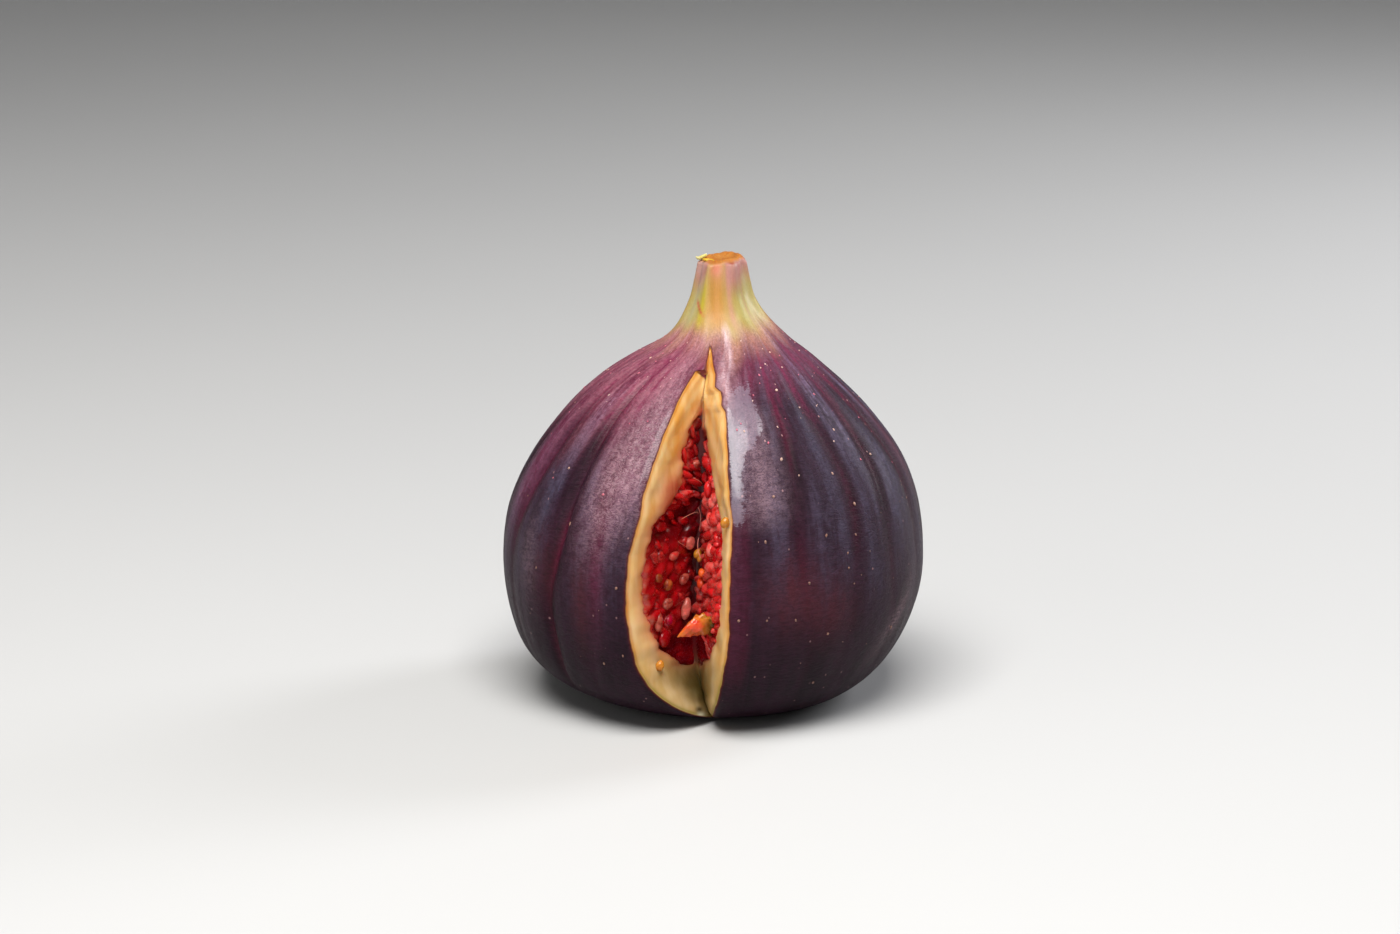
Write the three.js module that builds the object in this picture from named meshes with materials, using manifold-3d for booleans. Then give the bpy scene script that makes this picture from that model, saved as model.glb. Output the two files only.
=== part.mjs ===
// A fresh purple fig that stands on its flat base with its stalk up. One lengthwise cut down the front has been
// squeezed open, so that the pale flesh and the red, seedy pulp show between the lips of the skin.
// Millimetres, +Z up, the open cut faces -Y. Angles run round the Z axis from the front (-Y) towards +X.
import * as THREE from "three";
import { mergeVertices } from "three/addons/utils/BufferGeometryUtils.js";
import Module from "manifold-3d";

// Driving dimensions
const FRUIT_RADIUS = 27.8;
const FRUIT_HEIGHT = 58.5;
const FLAT_BASE_RADIUS = 11;
const STALK_RADIUS = 2.85;
const EYE_RADIUS = 3.4;
const EYE_DEPTH = 1.3;

// The skin's outline [radius, height], from the edge of the flat base to the rim of the cut stalk
const SKIN_OUTLINE = [
  [FLAT_BASE_RADIUS, 0],
  [15.4, 0.55],
  [19.6, 2.2],
  [23.2, 5],
  [25.8, 9],
  [27.4, 14],
  [FRUIT_RADIUS, 19.5],
  [27, 25.5],
  [24.6, 31.5],
  [20.9, 36.9],
  [17.1, 41],
  [12.6, 44.5],
  [8.35, 47.3],
  [5.7, 50],
  [4.05, 52.8],
  [3.35, 55.5],
  [STALK_RADIUS, 57.8],
  [2.3, FRUIT_HEIGHT],
];
const ROWS_PER_SPAN = 2;

// The pulp's outline [radius, height]: a teardrop that leaves 4 to 5 mm of flesh round the belly,
// 6 mm under it and more towards the stalk
const PULP_OUTLINE = [
  [0, 6.3],
  [8, 6.4],
  [13.2, 7.1],
  [17.4, 9],
  [20.7, 12.2],
  [22.8, 16.6],
  [23.1, 21.2],
  [21.6, 25.6],
  [18.6, 29.2],
  [15.4, 32.6],
  [12.8, 36],
  [10, 39],
  [6.4, 41.6],
  [0, 43.4],
];
const PULP_ROWS = 20;
const PULP_SIDES = 36;
const PULP_GAP = 0.3;

// Lengthwise grooves between the skin's ribs: [angle in degrees, depth]
const GROOVES = [
  [14, 0.25],
  [26, 0.5],
  [41, 0.42],
  [58, 0.5],
  [73, 0.45],
  [88, 0.35],
  [103, 0.4],
  [118, 0.3],
  [132, 0.45],
  [149, 0.35],
  [163, 0.4],
  [179, 0.3],
  [194, 0.45],
  [208, 0.35],
  [224, 0.4],
  [240, 0.35],
  [255, 0.42],
  [272, 0.4],
  [291, 0.6],
  [314, 1.1],
  [326, 0.35],
  [341, 0.3],
  [357, 0.3],
];
const GROOVE_HALF_WIDTH = 3.4;
const GROOVE_SHOULDER = 5.2;

// The stalk is ridged: this many ridges, turned by this many radians, this high
const STALK_RIDGES = 6;
const STALK_RIDGE_TURN = 3.56;
const STALK_RIDGE_HEIGHT = 0.22;

// The open cut, stated where it crosses the points of the skin's outline. Each row is the outline's position (0 is the
// edge of the base, 17 the stalk's rim), the angles of the left and right lips, and the bottom of the cut as its
// angle, radius and height
const CUT = [
  [0.6, -4.4, -3.6, -4, 13.4, 0.7],
  [1, -6, -2.2, -3.5, 14.2, 1.8],
  [2, -9, 0, -4, 14, 4.2],
  [3, -15.4, 2.2, -7, 13.2, 6.9],
  [4, -20.5, 3.6, -10, 12.3, 10.2],
  [5, -23, 4.1, -11.5, 11.6, 14.5],
  [6, -24.1, 4.1, -11, 11.1, 19.5],
  [7, -23.6, 4.5, -10, 10.8, 24.8],
  [8, -23, 4, -10, 10.5, 30],
  [9, -21.9, 3.5, -11, 10.3, 34.8],
  [10, -20.1, 3.6, -11, 10, 39],
  [11, -19.7, -5, -11, 9.3, 43.2],
  [12.1, -18.3, -15.4, -16, 6.9, 47.2],
];
const CUT_STEPS = 30;
const CUT_BOTTOM_WIDTH = 0.5;
const CUT_REACH = 3;

// Drupelets: the small fleshy flowers that line the pulp. Each is a dome on the wall of the cut, longer into the
// fruit than it is tall, and they stand in staggered rows with a seeded jitter.
const DRUPELET_HEIGHT = 1.05;
const DRUPELET_ROW = 1.95;
const DRUPELET_PITCH = 2.5;
const DRUPELET_JITTER = 0.34;
const DRUPELET_SEED = 7;
const PULP_RECESS = 0.7;
const PULP_REACH = [2.3, 10.7];
const PULP_STEPS = 78;
const PULP_DEPTH_STEPS = 19;

// A torn flap of pulp that hangs from the right wall: the eggs that make it up, each [position along the cut,
// share of the wall's depth, how far it stands out, length]
const FLAP = [
  [5.1, 0.4, 0.1, 4.2],
  [5.05, 0.5, 1.3, 3.4],
  [4.95, 0.58, 2.3, 2.8],
];

// Loose seeds that the knife left on the pale cut faces: [wall, position along the cut, share of the wall's depth]
const STRAY_SEEDS = [
  [-1, 3.95, 0.28],
  [1, 7.6, 0.06],
];
const SEED_LENGTH = 1.55;
const SEED_WIDTH = 1.2;

// Scales in the eye at the middle of the base
const EYE_SCALES = 9;

const wasm = await Module();
wasm.setup();

// Turns a closed three.js geometry into a solid that can be cut and joined.
function solidFrom(geometry) {
  const bare = new THREE.BufferGeometry();
  bare.setAttribute("position", geometry.getAttribute("position"));
  bare.setIndex(geometry.index);
  const merged = mergeVertices(bare, 1e-4);
  const mesh = new wasm.Mesh({
    numProp: 3,
    vertProperties: merged.attributes.position.array,
    triVerts: new Uint32Array(merged.index.array),
  });
  return new wasm.Manifold(mesh);
}

// Turns a solid back into a three.js geometry with flat-shaded normals.
function geometryFrom(solid) {
  const mesh = solid.getMesh();
  const geometry = new THREE.BufferGeometry();
  geometry.setAttribute("position", new THREE.BufferAttribute(new Float32Array(mesh.vertProperties), 3));
  geometry.setIndex(new THREE.BufferAttribute(new Uint32Array(mesh.triVerts), 1));
  geometry.computeVertexNormals();
  return geometry;
}

// How far the fruit's axis leans towards +X at a height: the base sits a little to the right, the belly to the left,
// and the shoulders and above all the foot of the stalk to the right.
function lean(z) {
  const base = 1.9 * Math.exp(-z / 1.5);
  const belly = -0.5 * Math.exp(-(((z - 6) / 6) ** 2));
  const shoulders = 0.5 * THREE.MathUtils.smoothstep(z, 22, 34);
  const neck = 0.65 * THREE.MathUtils.smoothstep(z, 40, 48) + 0.65 * Math.exp(-(((z - 48) / 3.2) ** 2));
  return base + belly + shoulders + neck;
}

// How deep the grooves run at an angle and a place on the outline. They are shallower low down, where the belly is
// taut, and fade out under the fruit and on the stalk.
function grooveDepth(angle, radius, z) {
  const fade = THREE.MathUtils.smoothstep(z, 0.5, 9) * (1 - THREE.MathUtils.smoothstep(z, 47, 52));
  const narrowing = Math.min(1, radius / 14);
  let depth = 0;
  for (const [centre, deepest] of GROOVES) {
    const away = ((THREE.MathUtils.radToDeg(angle) - centre + 540) % 360) - 180;
    const kept = deepest > 1 ? 0.75 : 0.45;
    const taut = THREE.MathUtils.lerp(kept, 1, THREE.MathUtils.smoothstep(z, 16, 34));
    depth += deepest * taut * Math.exp(-((away / GROOVE_HALF_WIDTH) ** 2));
  }
  return depth * fade * narrowing;
}

// The ridges of the stalk, which die away into the shoulders.
function stalkRidge(angle, z) {
  const share = THREE.MathUtils.smoothstep(z, 46, 51) * (1 - THREE.MathUtils.smoothstep(z, 57.6, FRUIT_HEIGHT));
  return STALK_RIDGE_HEIGHT * share * Math.cos(STALK_RIDGES * angle + STALK_RIDGE_TURN);
}

// A point of the skin at an angle, for a place on the outline.
function skinPoint(angle, radius, z) {
  const rho = radius - grooveDepth(angle, radius, z) + stalkRidge(angle, z);
  return new THREE.Vector3(rho * Math.sin(angle) + lean(z), -rho * Math.cos(angle), z);
}

// A point inside the fruit, which leans as the skin does.
function innerPoint(angle, radius, z) {
  return new THREE.Vector3(radius * Math.sin(angle) + lean(z), -radius * Math.cos(angle), z);
}

// A curve through columns of a table, read at any position of its first column.
function tableCurve(table, column) {
  const curve = new THREE.SplineCurve(table.map((row) => new THREE.Vector2(row[0], row[column])));
  return (position) => {
    const last = table.length - 1;
    let row = 0;
    while (row < last - 1 && table[row + 1][0] < position) row++;
    const share = (position - table[row][0]) / (table[row + 1][0] - table[row][0]);
    return curve.getPoint((row + THREE.MathUtils.clamp(share, 0, 1)) / last).y;
  };
}

const skinCurve = new THREE.SplineCurve(SKIN_OUTLINE.map(([r, z]) => new THREE.Vector2(r, z)));
const pulpCurve = new THREE.SplineCurve(PULP_OUTLINE.map(([r, z]) => new THREE.Vector2(r, z)));

// The place on the skin's outline at a position from 0 to 17.
function skinOutlineAt(position) {
  return skinCurve.getPoint(position / (SKIN_OUTLINE.length - 1));
}

const leftLip = tableCurve(CUT, 1);
const rightLip = tableCurve(CUT, 2);
const bottomAngle = tableCurve(CUT, 3);
const bottomRadius = tableCurve(CUT, 4);
const bottomHeight = tableCurve(CUT, 5);

// The lip of the cut on one side (-1 left, 1 right), and the bottom of the cut.
function lipPoint(side, position) {
  const outline = skinOutlineAt(position);
  const degrees = side < 0 ? leftLip(position) : rightLip(position);
  return skinPoint(THREE.MathUtils.degToRad(degrees), outline.x, outline.y);
}

function bottomPoint(position) {
  const angle = THREE.MathUtils.degToRad(bottomAngle(position));
  return innerPoint(angle, bottomRadius(position), bottomHeight(position));
}

// The sideways direction of one wall of the cut, out of the flesh and into the open cut.
function wallNormal(side, position) {
  const inward = bottomPoint(position).sub(lipPoint(side, position)).normalize();
  const along = lipPoint(side, position + 0.05).sub(lipPoint(side, position - 0.05)).normalize();
  return new THREE.Vector3().crossVectors(along, inward).multiplyScalar(side).normalize();
}

// A point on a wall: share 0 is the lip and 1 the bottom of the cut.
function wallPoint(side, position, share) {
  return lipPoint(side, position).lerp(bottomPoint(position), share);
}

// Bends a lathe into a shape whose point for each column and row is given.
function latheMappedTo(outline, sides, pointAt) {
  const geometry = new THREE.LatheGeometry(outline, sides);
  const position = geometry.getAttribute("position");
  for (let column = 0; column <= sides; column++) {
    for (let row = 0; row < outline.length; row++) {
      const point = pointAt(column % sides, outline[row]);
      position.setXYZ(column * outline.length + row, point.x, point.y, point.z);
    }
  }
  return geometry;
}

// The whole fruit before it is cut, with a column of faces on each side of every groove.
function wholeFruit() {
  const outline = [
    new THREE.Vector2(0, EYE_DEPTH),
    new THREE.Vector2(EYE_RADIUS * 0.6, EYE_DEPTH * 0.9),
    new THREE.Vector2(EYE_RADIUS, 0.25),
    new THREE.Vector2(EYE_RADIUS + 0.7, 0),
  ];
  const spans = SKIN_OUTLINE.length - 1;
  for (let row = 0; row <= spans * ROWS_PER_SPAN; row++) outline.push(skinOutlineAt(row / ROWS_PER_SPAN));
  outline.push(new THREE.Vector2(0, FRUIT_HEIGHT + 0.15));

  const columns = GROOVES.flatMap(([centre]) => [centre - GROOVE_SHOULDER, centre, centre + GROOVE_SHOULDER]);
  return latheMappedTo(outline, columns.length, (column, place) => {
    const point = skinPoint(THREE.MathUtils.degToRad(columns[column]), place.x, place.y);
    const underneath = place.x < FLAT_BASE_RADIUS && place.y < EYE_DEPTH + 0.1;
    if (underneath) point.x += lean(0) - lean(place.y);
    return point;
  });
}

// The room that the pulp takes up inside the flesh, or the pulp's own body when it is drawn in by a gap.
function pulpRoom(inset) {
  const outline = pulpCurve.getSpacedPoints(PULP_ROWS).map((place, row, all) => {
    if (row === 0) return new THREE.Vector2(0, place.y + inset);
    if (row === PULP_ROWS) return new THREE.Vector2(0, place.y - inset);
    const tangent = all[row + 1].clone().sub(all[row - 1]).normalize();
    return new THREE.Vector2(place.x - inset * tangent.y, place.y + inset * tangent.x);
  });
  return latheMappedTo(outline, PULP_SIDES, (column, place) =>
    innerPoint((column / PULP_SIDES) * 2 * Math.PI, place.x, place.y),
  );
}

// A repeatable random number from 0 to 1 for a cell of the drupelets' pattern.
function cellRandom(side, row, column, salt) {
  const seed = DRUPELET_SEED + side * 31.7 + row * 12.9898 + column * 78.233 + salt * 37.719;
  const wave = Math.sin(seed) * 43758.5453;
  return wave - Math.floor(wave);
}

// How far the drupelets stand out of a wall, at a height and at a distance from the bottom of the cut.
function drupeletHeight(side, z, fromBottom) {
  const row = Math.round(z / DRUPELET_ROW);
  let highest = 0;
  for (let i = row - 1; i <= row + 1; i++) {
    const shift = i % 2 ? 0.5 : 0;
    const column = Math.round(fromBottom / DRUPELET_PITCH - shift);
    for (let j = column - 1; j <= column + 1; j++) {
      const away = z / DRUPELET_ROW - i + DRUPELET_JITTER * (cellRandom(side, i, j, 1) - 0.5);
      const along = fromBottom / DRUPELET_PITCH - shift - j + DRUPELET_JITTER * (cellRandom(side, i, j, 2) - 0.5);
      const size = 0.55 + 0.12 * cellRandom(side, i, j, 3);
      const dome = Math.sqrt(Math.max(0, 1 - (away / size) ** 2 - (along / size) ** 2));
      highest = Math.max(highest, dome * (0.65 + 0.35 * cellRandom(side, i, j, 4)));
    }
  }
  return DRUPELET_HEIGHT * highest * THREE.MathUtils.smoothstep(fromBottom, 0.3, 2);
}

// A closed block bent into the wedge between two positions along the cut, by a rule for its corners: the side is -1
// or 1 and the share runs from 0 at the lip to 1 at the bottom.
function wedge([first, last], steps, depthSteps, cornerAt) {
  const geometry = new THREE.BoxGeometry(1, 1, 1, 1, depthSteps, steps);
  const position = geometry.getAttribute("position");
  for (let i = 0; i < position.count; i++) {
    const side = position.getX(i) < 0 ? -1 : 1;
    const along = THREE.MathUtils.lerp(first, last, position.getZ(i) + 0.5);
    const corner = cornerAt(side, along, position.getY(i) + 0.5);
    position.setXYZ(i, corner.x, corner.y, corner.z);
  }
  return geometry;
}

// A corner of the open cut, which starts outside the skin and ends in a narrow bottom.
function cutCorner(side, along, share) {
  const lip = lipPoint(side, along);
  const bottom = bottomPoint(along);
  const inward = bottom.clone().sub(lip).normalize();
  bottom.x += (side * CUT_BOTTOM_WIDTH) / 2;
  return lip.addScaledVector(inward, -CUT_REACH).lerp(bottom, share);
}

// A corner of the room between the two walls of pulp: the open cut set back a little, less the drupelets.
function pulpCorner(side, along, share) {
  const corner = cutCorner(side, along, share);
  const fromBottom = corner.distanceTo(cutCorner(side, along, 1));
  const setBack = PULP_RECESS * THREE.MathUtils.smoothstep(fromBottom, 0, 2);
  return corner.addScaledVector(wallNormal(side, along), drupeletHeight(side, corner.z, fromBottom) - setBack);
}

// An egg with its long axis along one direction and its short axis along another.
function egg(centre, lengthways, outward, size, sides) {
  const geometry = sides ? new THREE.SphereGeometry(0.5, sides, sides - 2) : new THREE.IcosahedronGeometry(0.5, 0);
  const x = lengthways.clone().normalize();
  const z = outward.clone().addScaledVector(x, -outward.dot(x)).normalize();
  const y = new THREE.Vector3().crossVectors(z, x);
  const turn = new THREE.Matrix4().makeBasis(x, y, z).setPosition(centre);
  return geometry.scale(size.length, size.width, size.height).applyMatrix4(turn);
}

// The torn flap, as a chain of eggs rooted in the right wall.
function flap() {
  return FLAP.map(([position, share, stand, length]) => {
    const outward = wallNormal(1, position);
    const centre = wallPoint(1, position, share).addScaledVector(outward, stand);
    const lengthways = outward.clone().add(new THREE.Vector3(0, 0.2, -0.35));
    return egg(centre, lengthways, new THREE.Vector3(0, 0, 1), { length, width: 2.4, height: 1.7 });
  });
}

// The scales that close the eye, overlapping in a ring inside its hollow.
function eyeScales() {
  const scales = [];
  for (let i = 0; i < EYE_SCALES; i++) {
    const angle = (i / EYE_SCALES) * 2 * Math.PI;
    const inward = new THREE.Vector3(-Math.sin(angle), Math.cos(angle), -0.12);
    const centre = innerPoint(angle, EYE_RADIUS * 0.5, 0).setZ(EYE_DEPTH * 0.82);
    scales.push(egg(centre, inward, new THREE.Vector3(0, 0, -1), { length: 2.7, width: 1.9, height: 0.9 }));
  }
  return scales;
}

// A solid with closed geometries added to it one by one.
function joined(solid, geometries) {
  return geometries.reduce((sum, geometry) => sum.add(solidFrom(geometry)), solid);
}

function rindMesh() {
  const cut = solidFrom(wedge([CUT[0][0], CUT[CUT.length - 1][0]], CUT_STEPS, 1, cutCorner));
  const whole = joined(solidFrom(wholeFruit()), eyeScales());
  const rind = whole.subtract(solidFrom(pulpRoom(0))).subtract(cut);
  const skin = new THREE.MeshStandardMaterial({ color: 0x4a2c48, roughness: 0.5, metalness: 0 });
  const mesh = new THREE.Mesh(geometryFrom(rind), skin);
  mesh.name = "rind";
  return mesh;
}

function pulpMesh() {
  const room = solidFrom(pulpRoom(PULP_GAP));
  const core = room.subtract(solidFrom(wedge(PULP_REACH, PULP_STEPS, PULP_DEPTH_STEPS, pulpCorner)));
  const pulp = joined(core, flap()).intersect(room);
  const flesh = new THREE.MeshStandardMaterial({ color: 0xa3141c, roughness: 0.25, metalness: 0 });
  const mesh = new THREE.Mesh(geometryFrom(pulp), flesh);
  mesh.name = "pulp";
  return mesh;
}

function straySeedMesh([side, position, share], index) {
  const shell = new THREE.MeshStandardMaterial({ color: 0xc98a2e, roughness: 0.3, metalness: 0 });
  const outward = wallNormal(side, position);
  const centre = wallPoint(side, position, share).addScaledVector(outward, SEED_WIDTH / 2 + 0.02);
  const size = { length: SEED_LENGTH, width: SEED_WIDTH, height: SEED_WIDTH };
  const mesh = new THREE.Mesh(egg(new THREE.Vector3(), new THREE.Vector3(0.3, 0.2, 1), outward, size, 8), shell);
  mesh.position.copy(centre);
  mesh.name = `stray_seed_${index + 1}`;
  return mesh;
}

const fig = new THREE.Group();
fig.name = "fresh_fig";
fig.add(rindMesh(), pulpMesh(), ...STRAY_SEEDS.map(straySeedMesh));

export default fig;
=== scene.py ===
import math

import bmesh
import bpy
import numpy as np
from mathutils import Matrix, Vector


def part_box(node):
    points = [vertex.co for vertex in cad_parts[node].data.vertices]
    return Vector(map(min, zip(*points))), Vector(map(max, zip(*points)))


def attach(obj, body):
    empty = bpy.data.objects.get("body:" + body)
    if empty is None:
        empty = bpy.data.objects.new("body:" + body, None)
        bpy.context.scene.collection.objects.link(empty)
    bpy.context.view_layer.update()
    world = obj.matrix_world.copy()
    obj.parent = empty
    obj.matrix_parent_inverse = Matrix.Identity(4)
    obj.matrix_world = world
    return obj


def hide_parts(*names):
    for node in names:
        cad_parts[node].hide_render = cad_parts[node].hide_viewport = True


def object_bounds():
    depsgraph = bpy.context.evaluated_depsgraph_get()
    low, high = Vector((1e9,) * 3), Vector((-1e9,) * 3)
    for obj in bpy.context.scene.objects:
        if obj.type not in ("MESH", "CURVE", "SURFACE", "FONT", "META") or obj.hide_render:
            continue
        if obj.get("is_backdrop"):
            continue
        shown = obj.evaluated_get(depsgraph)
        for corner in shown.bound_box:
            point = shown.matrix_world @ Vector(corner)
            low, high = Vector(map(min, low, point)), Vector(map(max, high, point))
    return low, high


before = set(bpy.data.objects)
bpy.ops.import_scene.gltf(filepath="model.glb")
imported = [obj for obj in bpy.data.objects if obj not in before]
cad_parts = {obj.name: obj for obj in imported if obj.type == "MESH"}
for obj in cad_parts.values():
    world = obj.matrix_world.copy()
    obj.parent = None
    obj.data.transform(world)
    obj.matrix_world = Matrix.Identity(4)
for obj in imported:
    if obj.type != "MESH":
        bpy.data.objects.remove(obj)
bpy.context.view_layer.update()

MM = 0.001
RANDOM = np.random.default_rng(12)
SIDES = (-1, 1)  # the cut's left and right wall, as the camera sees them

# Fineness of the grids
SKIN_ROWS, SKIN_COLUMNS, WALL_STEPS = 210, 310, 28
BED_ROWS, BED_COLUMNS = 200, 60
PULP_POINTS, WALL_POINTS, CHUNK = 260, 600, 4000
FLAP_STATIONS, FLAP_SIDES = 30, 20

# Sizes in millimetres: the pulp's lowest and highest place, the radius that the skin's texture is wound on,
# how far the skin turns in at the lips, how far the wall lies back behind the pulp, the gel's surface and its
# thickness, and the flap's length
PULP_LOW, PULP_HIGH = 6.3, 43.4
MEAN_RADIUS = 27
LIP_CURL = 0.22
WALL_SUNK = 2.6
GEL_LEVEL, GEL_DEPTH = -0.55, 3.2
FLAP_LENGTH = 4.9
# Angles: the deepest groove, and where the skin's columns would start and end without the lips' bends
STRONG_GROOVE = 314
RIGHT_EDGE, LEFT_EDGE = 5, -24
# Angle and height of the small dent in the skin
DENT = (-51, 25.2)

# The photograph's camera, in degrees, millimetres of lens and metres
CAMERA_TILT, LENS, SENSOR, DISTANCE = 14, 100, 36, 0.511
CENTRE_HEIGHT, FRAME_LEFT, FRAME_UP = 0.027, 0.00173, 0.003

# Shape tables, close to the solid's. The outline holds radius and height.
OUTLINE = np.array([
    [11, 0], [15.4, 0.55], [19.6, 2.2], [23.2, 5], [25.8, 9], [27.4, 14], [27.8, 19.5], [27, 25.5],
    [24.6, 31.5], [20.9, 36.9], [17.1, 41], [12.6, 44.5], [8.35, 47.3], [5.7, 50], [4.05, 52.8],
    [3.35, 55.5], [2.85, 57.8], [2.3, 58.5],
])
PULP = np.array([
    [0, 6.3], [8, 6.4], [13.2, 7.1], [17.4, 9], [20.7, 12.2], [22.8, 16.6], [23.1, 21.2], [21.6, 25.6],
    [18.6, 29.2], [15.4, 32.6], [12.8, 36], [10, 39], [6.4, 41.6], [0, 43.4],
])
# Grooves between the ribs: angle, depth, and how sharp the crease at the bottom is
GROOVES = [
    (14, 0.25, 0.1), (26, 0.5, 0.5), (41, 0.42, 0.3), (58, 0.5, 0.4), (73, 0.45, 0.5), (88, 0.35, 0.3),
    (103, 0.4, 0.4), (118, 0.3, 0.2), (132, 0.45, 0.5), (149, 0.35, 0.3), (163, 0.4, 0.4), (179, 0.3, 0.2),
    (194, 0.45, 0.5), (208, 0.35, 0.3), (224, 0.4, 0.4), (240, 0.35, 0.3), (255, 0.42, 0.5), (272, 0.4, 0.4),
    (291, 0.6, 0.6), (314, 1.1, 1.0), (326, 0.35, 0.5), (341, 0.3, 0.1), (357, 0.3, 0.0),
]
# Bottom of the cut: position on the outline, angle, radius, height
CUT_BOTTOM = np.array([
    [0.6, -4, 13.4, 0.7], [1, -3.5, 14.2, 1.8], [2, -4, 14, 4.2], [3, -7, 13.2, 6.9],
    [4, -10, 12.3, 10.2], [5, -11.5, 11.6, 14.5], [6, -11, 11.1, 19.5], [7, -10, 10.8, 24.8],
    [8, -10, 10.5, 30], [9, -11, 10.3, 34.8], [10, -11, 10, 39], [11, -11, 9.3, 43.2],
    [12.1, -16, 6.9, 47.2],
])
# The two lips of the cut: height, angle
LEFT_LIP = np.array([
    [0.4, -4.2], [1.2, -6], [2.2, -9], [3.3, -11.6], [5, -15.4], [7.2, -18.8], [9.9, -21.2],
    [12.9, -22.7], [16.2, -23.7], [19.4, -24.1], [22.5, -24], [25.3, -23.6], [27.6, -23], [30.1, -22.8],
    [32.3, -23], [34.5, -22.3], [36.1, -22.1], [38.2, -21.3], [40.2, -20.3], [41.6, -19.9], [43.4, -20.1],
    [45.35, -19.3], [45.45, -13], [46.2, -14.6], [47.2, -16.8], [48.2, -18.2],
])
RIGHT_LIP = np.array([
    [0.4, -4.1], [1.4, -1.8], [2.7, 0.6], [6, 2.8], [10, 3.8], [16, 4.2], [22, 4.2], [25.5, 4.6],
    [28, 4.6], [30.2, 4.3], [32.7, 3.7], [35, 3.4], [37.8, 3.5], [40.6, 3.8], [41.4, 3.4], [42, 1.6],
    [42.8, 1.4], [43.4, 0.2], [43.8, -3.3], [45.1, -4.9], [46, -8.7], [47.1, -13.6], [48.2, -18],
])


# Small maths helpers
def limit(value):
    return np.clip(value, 0, 1)


def sine(degrees):
    return np.sin(np.radians(degrees))


def smooth(value, low, high):
    share = limit((np.asarray(value, float) - low) / (high - low))
    return share * share * (3 - 2 * share)


def bell(value, centre, width):
    return np.exp(-(((np.asarray(value, float) - centre) / width) ** 2))


def between(value, low, full, fade, high):
    """Rises from 0 to 1 between the first two values and falls back to 0 between the last two."""
    return smooth(value, low, full) * (1 - smooth(value, fade, high))


def spline(points, t):
    """A uniform Catmull-Rom curve through the points, read from 0 to their number less one."""
    p = np.asarray(points, float)
    t = np.clip(np.asarray(t, float), 0, len(p) - 1)
    i = np.minimum(t.astype(int), len(p) - 2)
    w = (t - i)[..., None]
    a, b, c, d = p[np.maximum(i - 1, 0)], p[i], p[i + 1], p[np.minimum(i + 2, len(p) - 1)]
    u, v = (c - a) / 2, (d - b) / 2
    return (2 * b - 2 * c + u + v) * w**3 + (3 * c - 3 * b - 2 * u - v) * w**2 + u * w + b


def unit(v):
    v = np.asarray(v, float)
    return v / np.maximum(np.linalg.norm(v, axis=-1, keepdims=True), 1e-12)


def mix(a, b, share):
    share = limit(np.asarray(share, float))[..., None]
    return np.asarray(a, float) * (1 - share) + np.asarray(b, float) * share


def waves(theta, z, seed, count, turns, rise):
    """A smooth, seeded ripple of about -1 to 1 that closes on itself round the fruit."""
    draw = np.random.default_rng(seed)
    total = np.zeros(np.broadcast(theta, z).shape)
    for _ in range(count):
        k = draw.integers(turns[0], turns[1] + 1)
        slope = draw.uniform(*rise) * draw.choice([-1, 1])
        total += np.sin(np.radians(theta) * k + z * slope + draw.uniform(0, 6.28))
    return total / math.sqrt(count) / 1.4


class Paint:
    """The two colours that each point of a surface carries, and layers that cover them in part."""

    def __init__(self, tint, alt):
        self.tint, self.alt = tint, alt

    def lay(self, first, share, second=None, second_share=0.0):
        self.tint = mix(self.tint, first, share)
        if second is not None:
            self.alt = mix(self.alt, second, second_share)


# The fruit's form
def lean(z):
    """How far the fruit's axis leans towards +X at a height, most of all at the foot of the stalk."""
    z = np.asarray(z, float)
    shoulders = 0.5 * smooth(z, 22, 34) + 0.65 * smooth(z, 40, 48) + 0.65 * bell(z, 48, 3.2)
    return 1.9 * np.exp(-z / 1.5) - 0.5 * bell(z, 6, 6) + shoulders


def away(theta, centre):
    return (np.asarray(theta, float) - centre + 540) % 360 - 180


def patch(theta, z, angle, wide, height, tall):
    """A soft patch round an angle and a height."""
    return bell(away(theta, angle), 0, wide) * bell(z, height, tall)


def groove_drift(centre, z):
    """The strong groove on the left and its neighbours swing outwards low down."""
    swing = 6.5 * bell(centre, STRONG_GROOVE, 12) * smooth(-np.asarray(z, float), -27, -15)
    return centre - swing + 2 * np.sin(z / 7 + centre)


def groove(theta, r, z):
    """Depth of the grooves, and a narrow mask along their bottoms."""
    fade = between(z, 0.5, 9, 46, 51)
    narrow = np.minimum(1, np.asarray(r, float) / 14)
    depth = np.zeros(np.broadcast(theta, z).shape)
    crease = np.zeros_like(depth)
    for centre, deepest, sharp in GROOVES:
        d = away(theta, groove_drift(centre, z))
        low = 0.3 if deepest < 1 else 0.6
        share = low + (1 - low) * smooth(z, 17, 36)
        line = sharp * (1 - smooth(z, 41, 46))
        depth += share * deepest * (0.6 * bell(d, 0, 4) + 0.6 * line * bell(d, 0, 1.5))
        crease += share * sharp * bell(d, 0, 1.2)
    return depth * fade * narrow, crease * fade


def stalk_ridge(theta, z):
    share = between(z, 46, 51, 57.6, 58.5)
    ridges = 0.22 * np.cos(np.radians(6 * np.asarray(theta, float) + 204))
    return share * (ridges + 0.06 * np.cos(np.radians(13 * theta + 40)))


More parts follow.
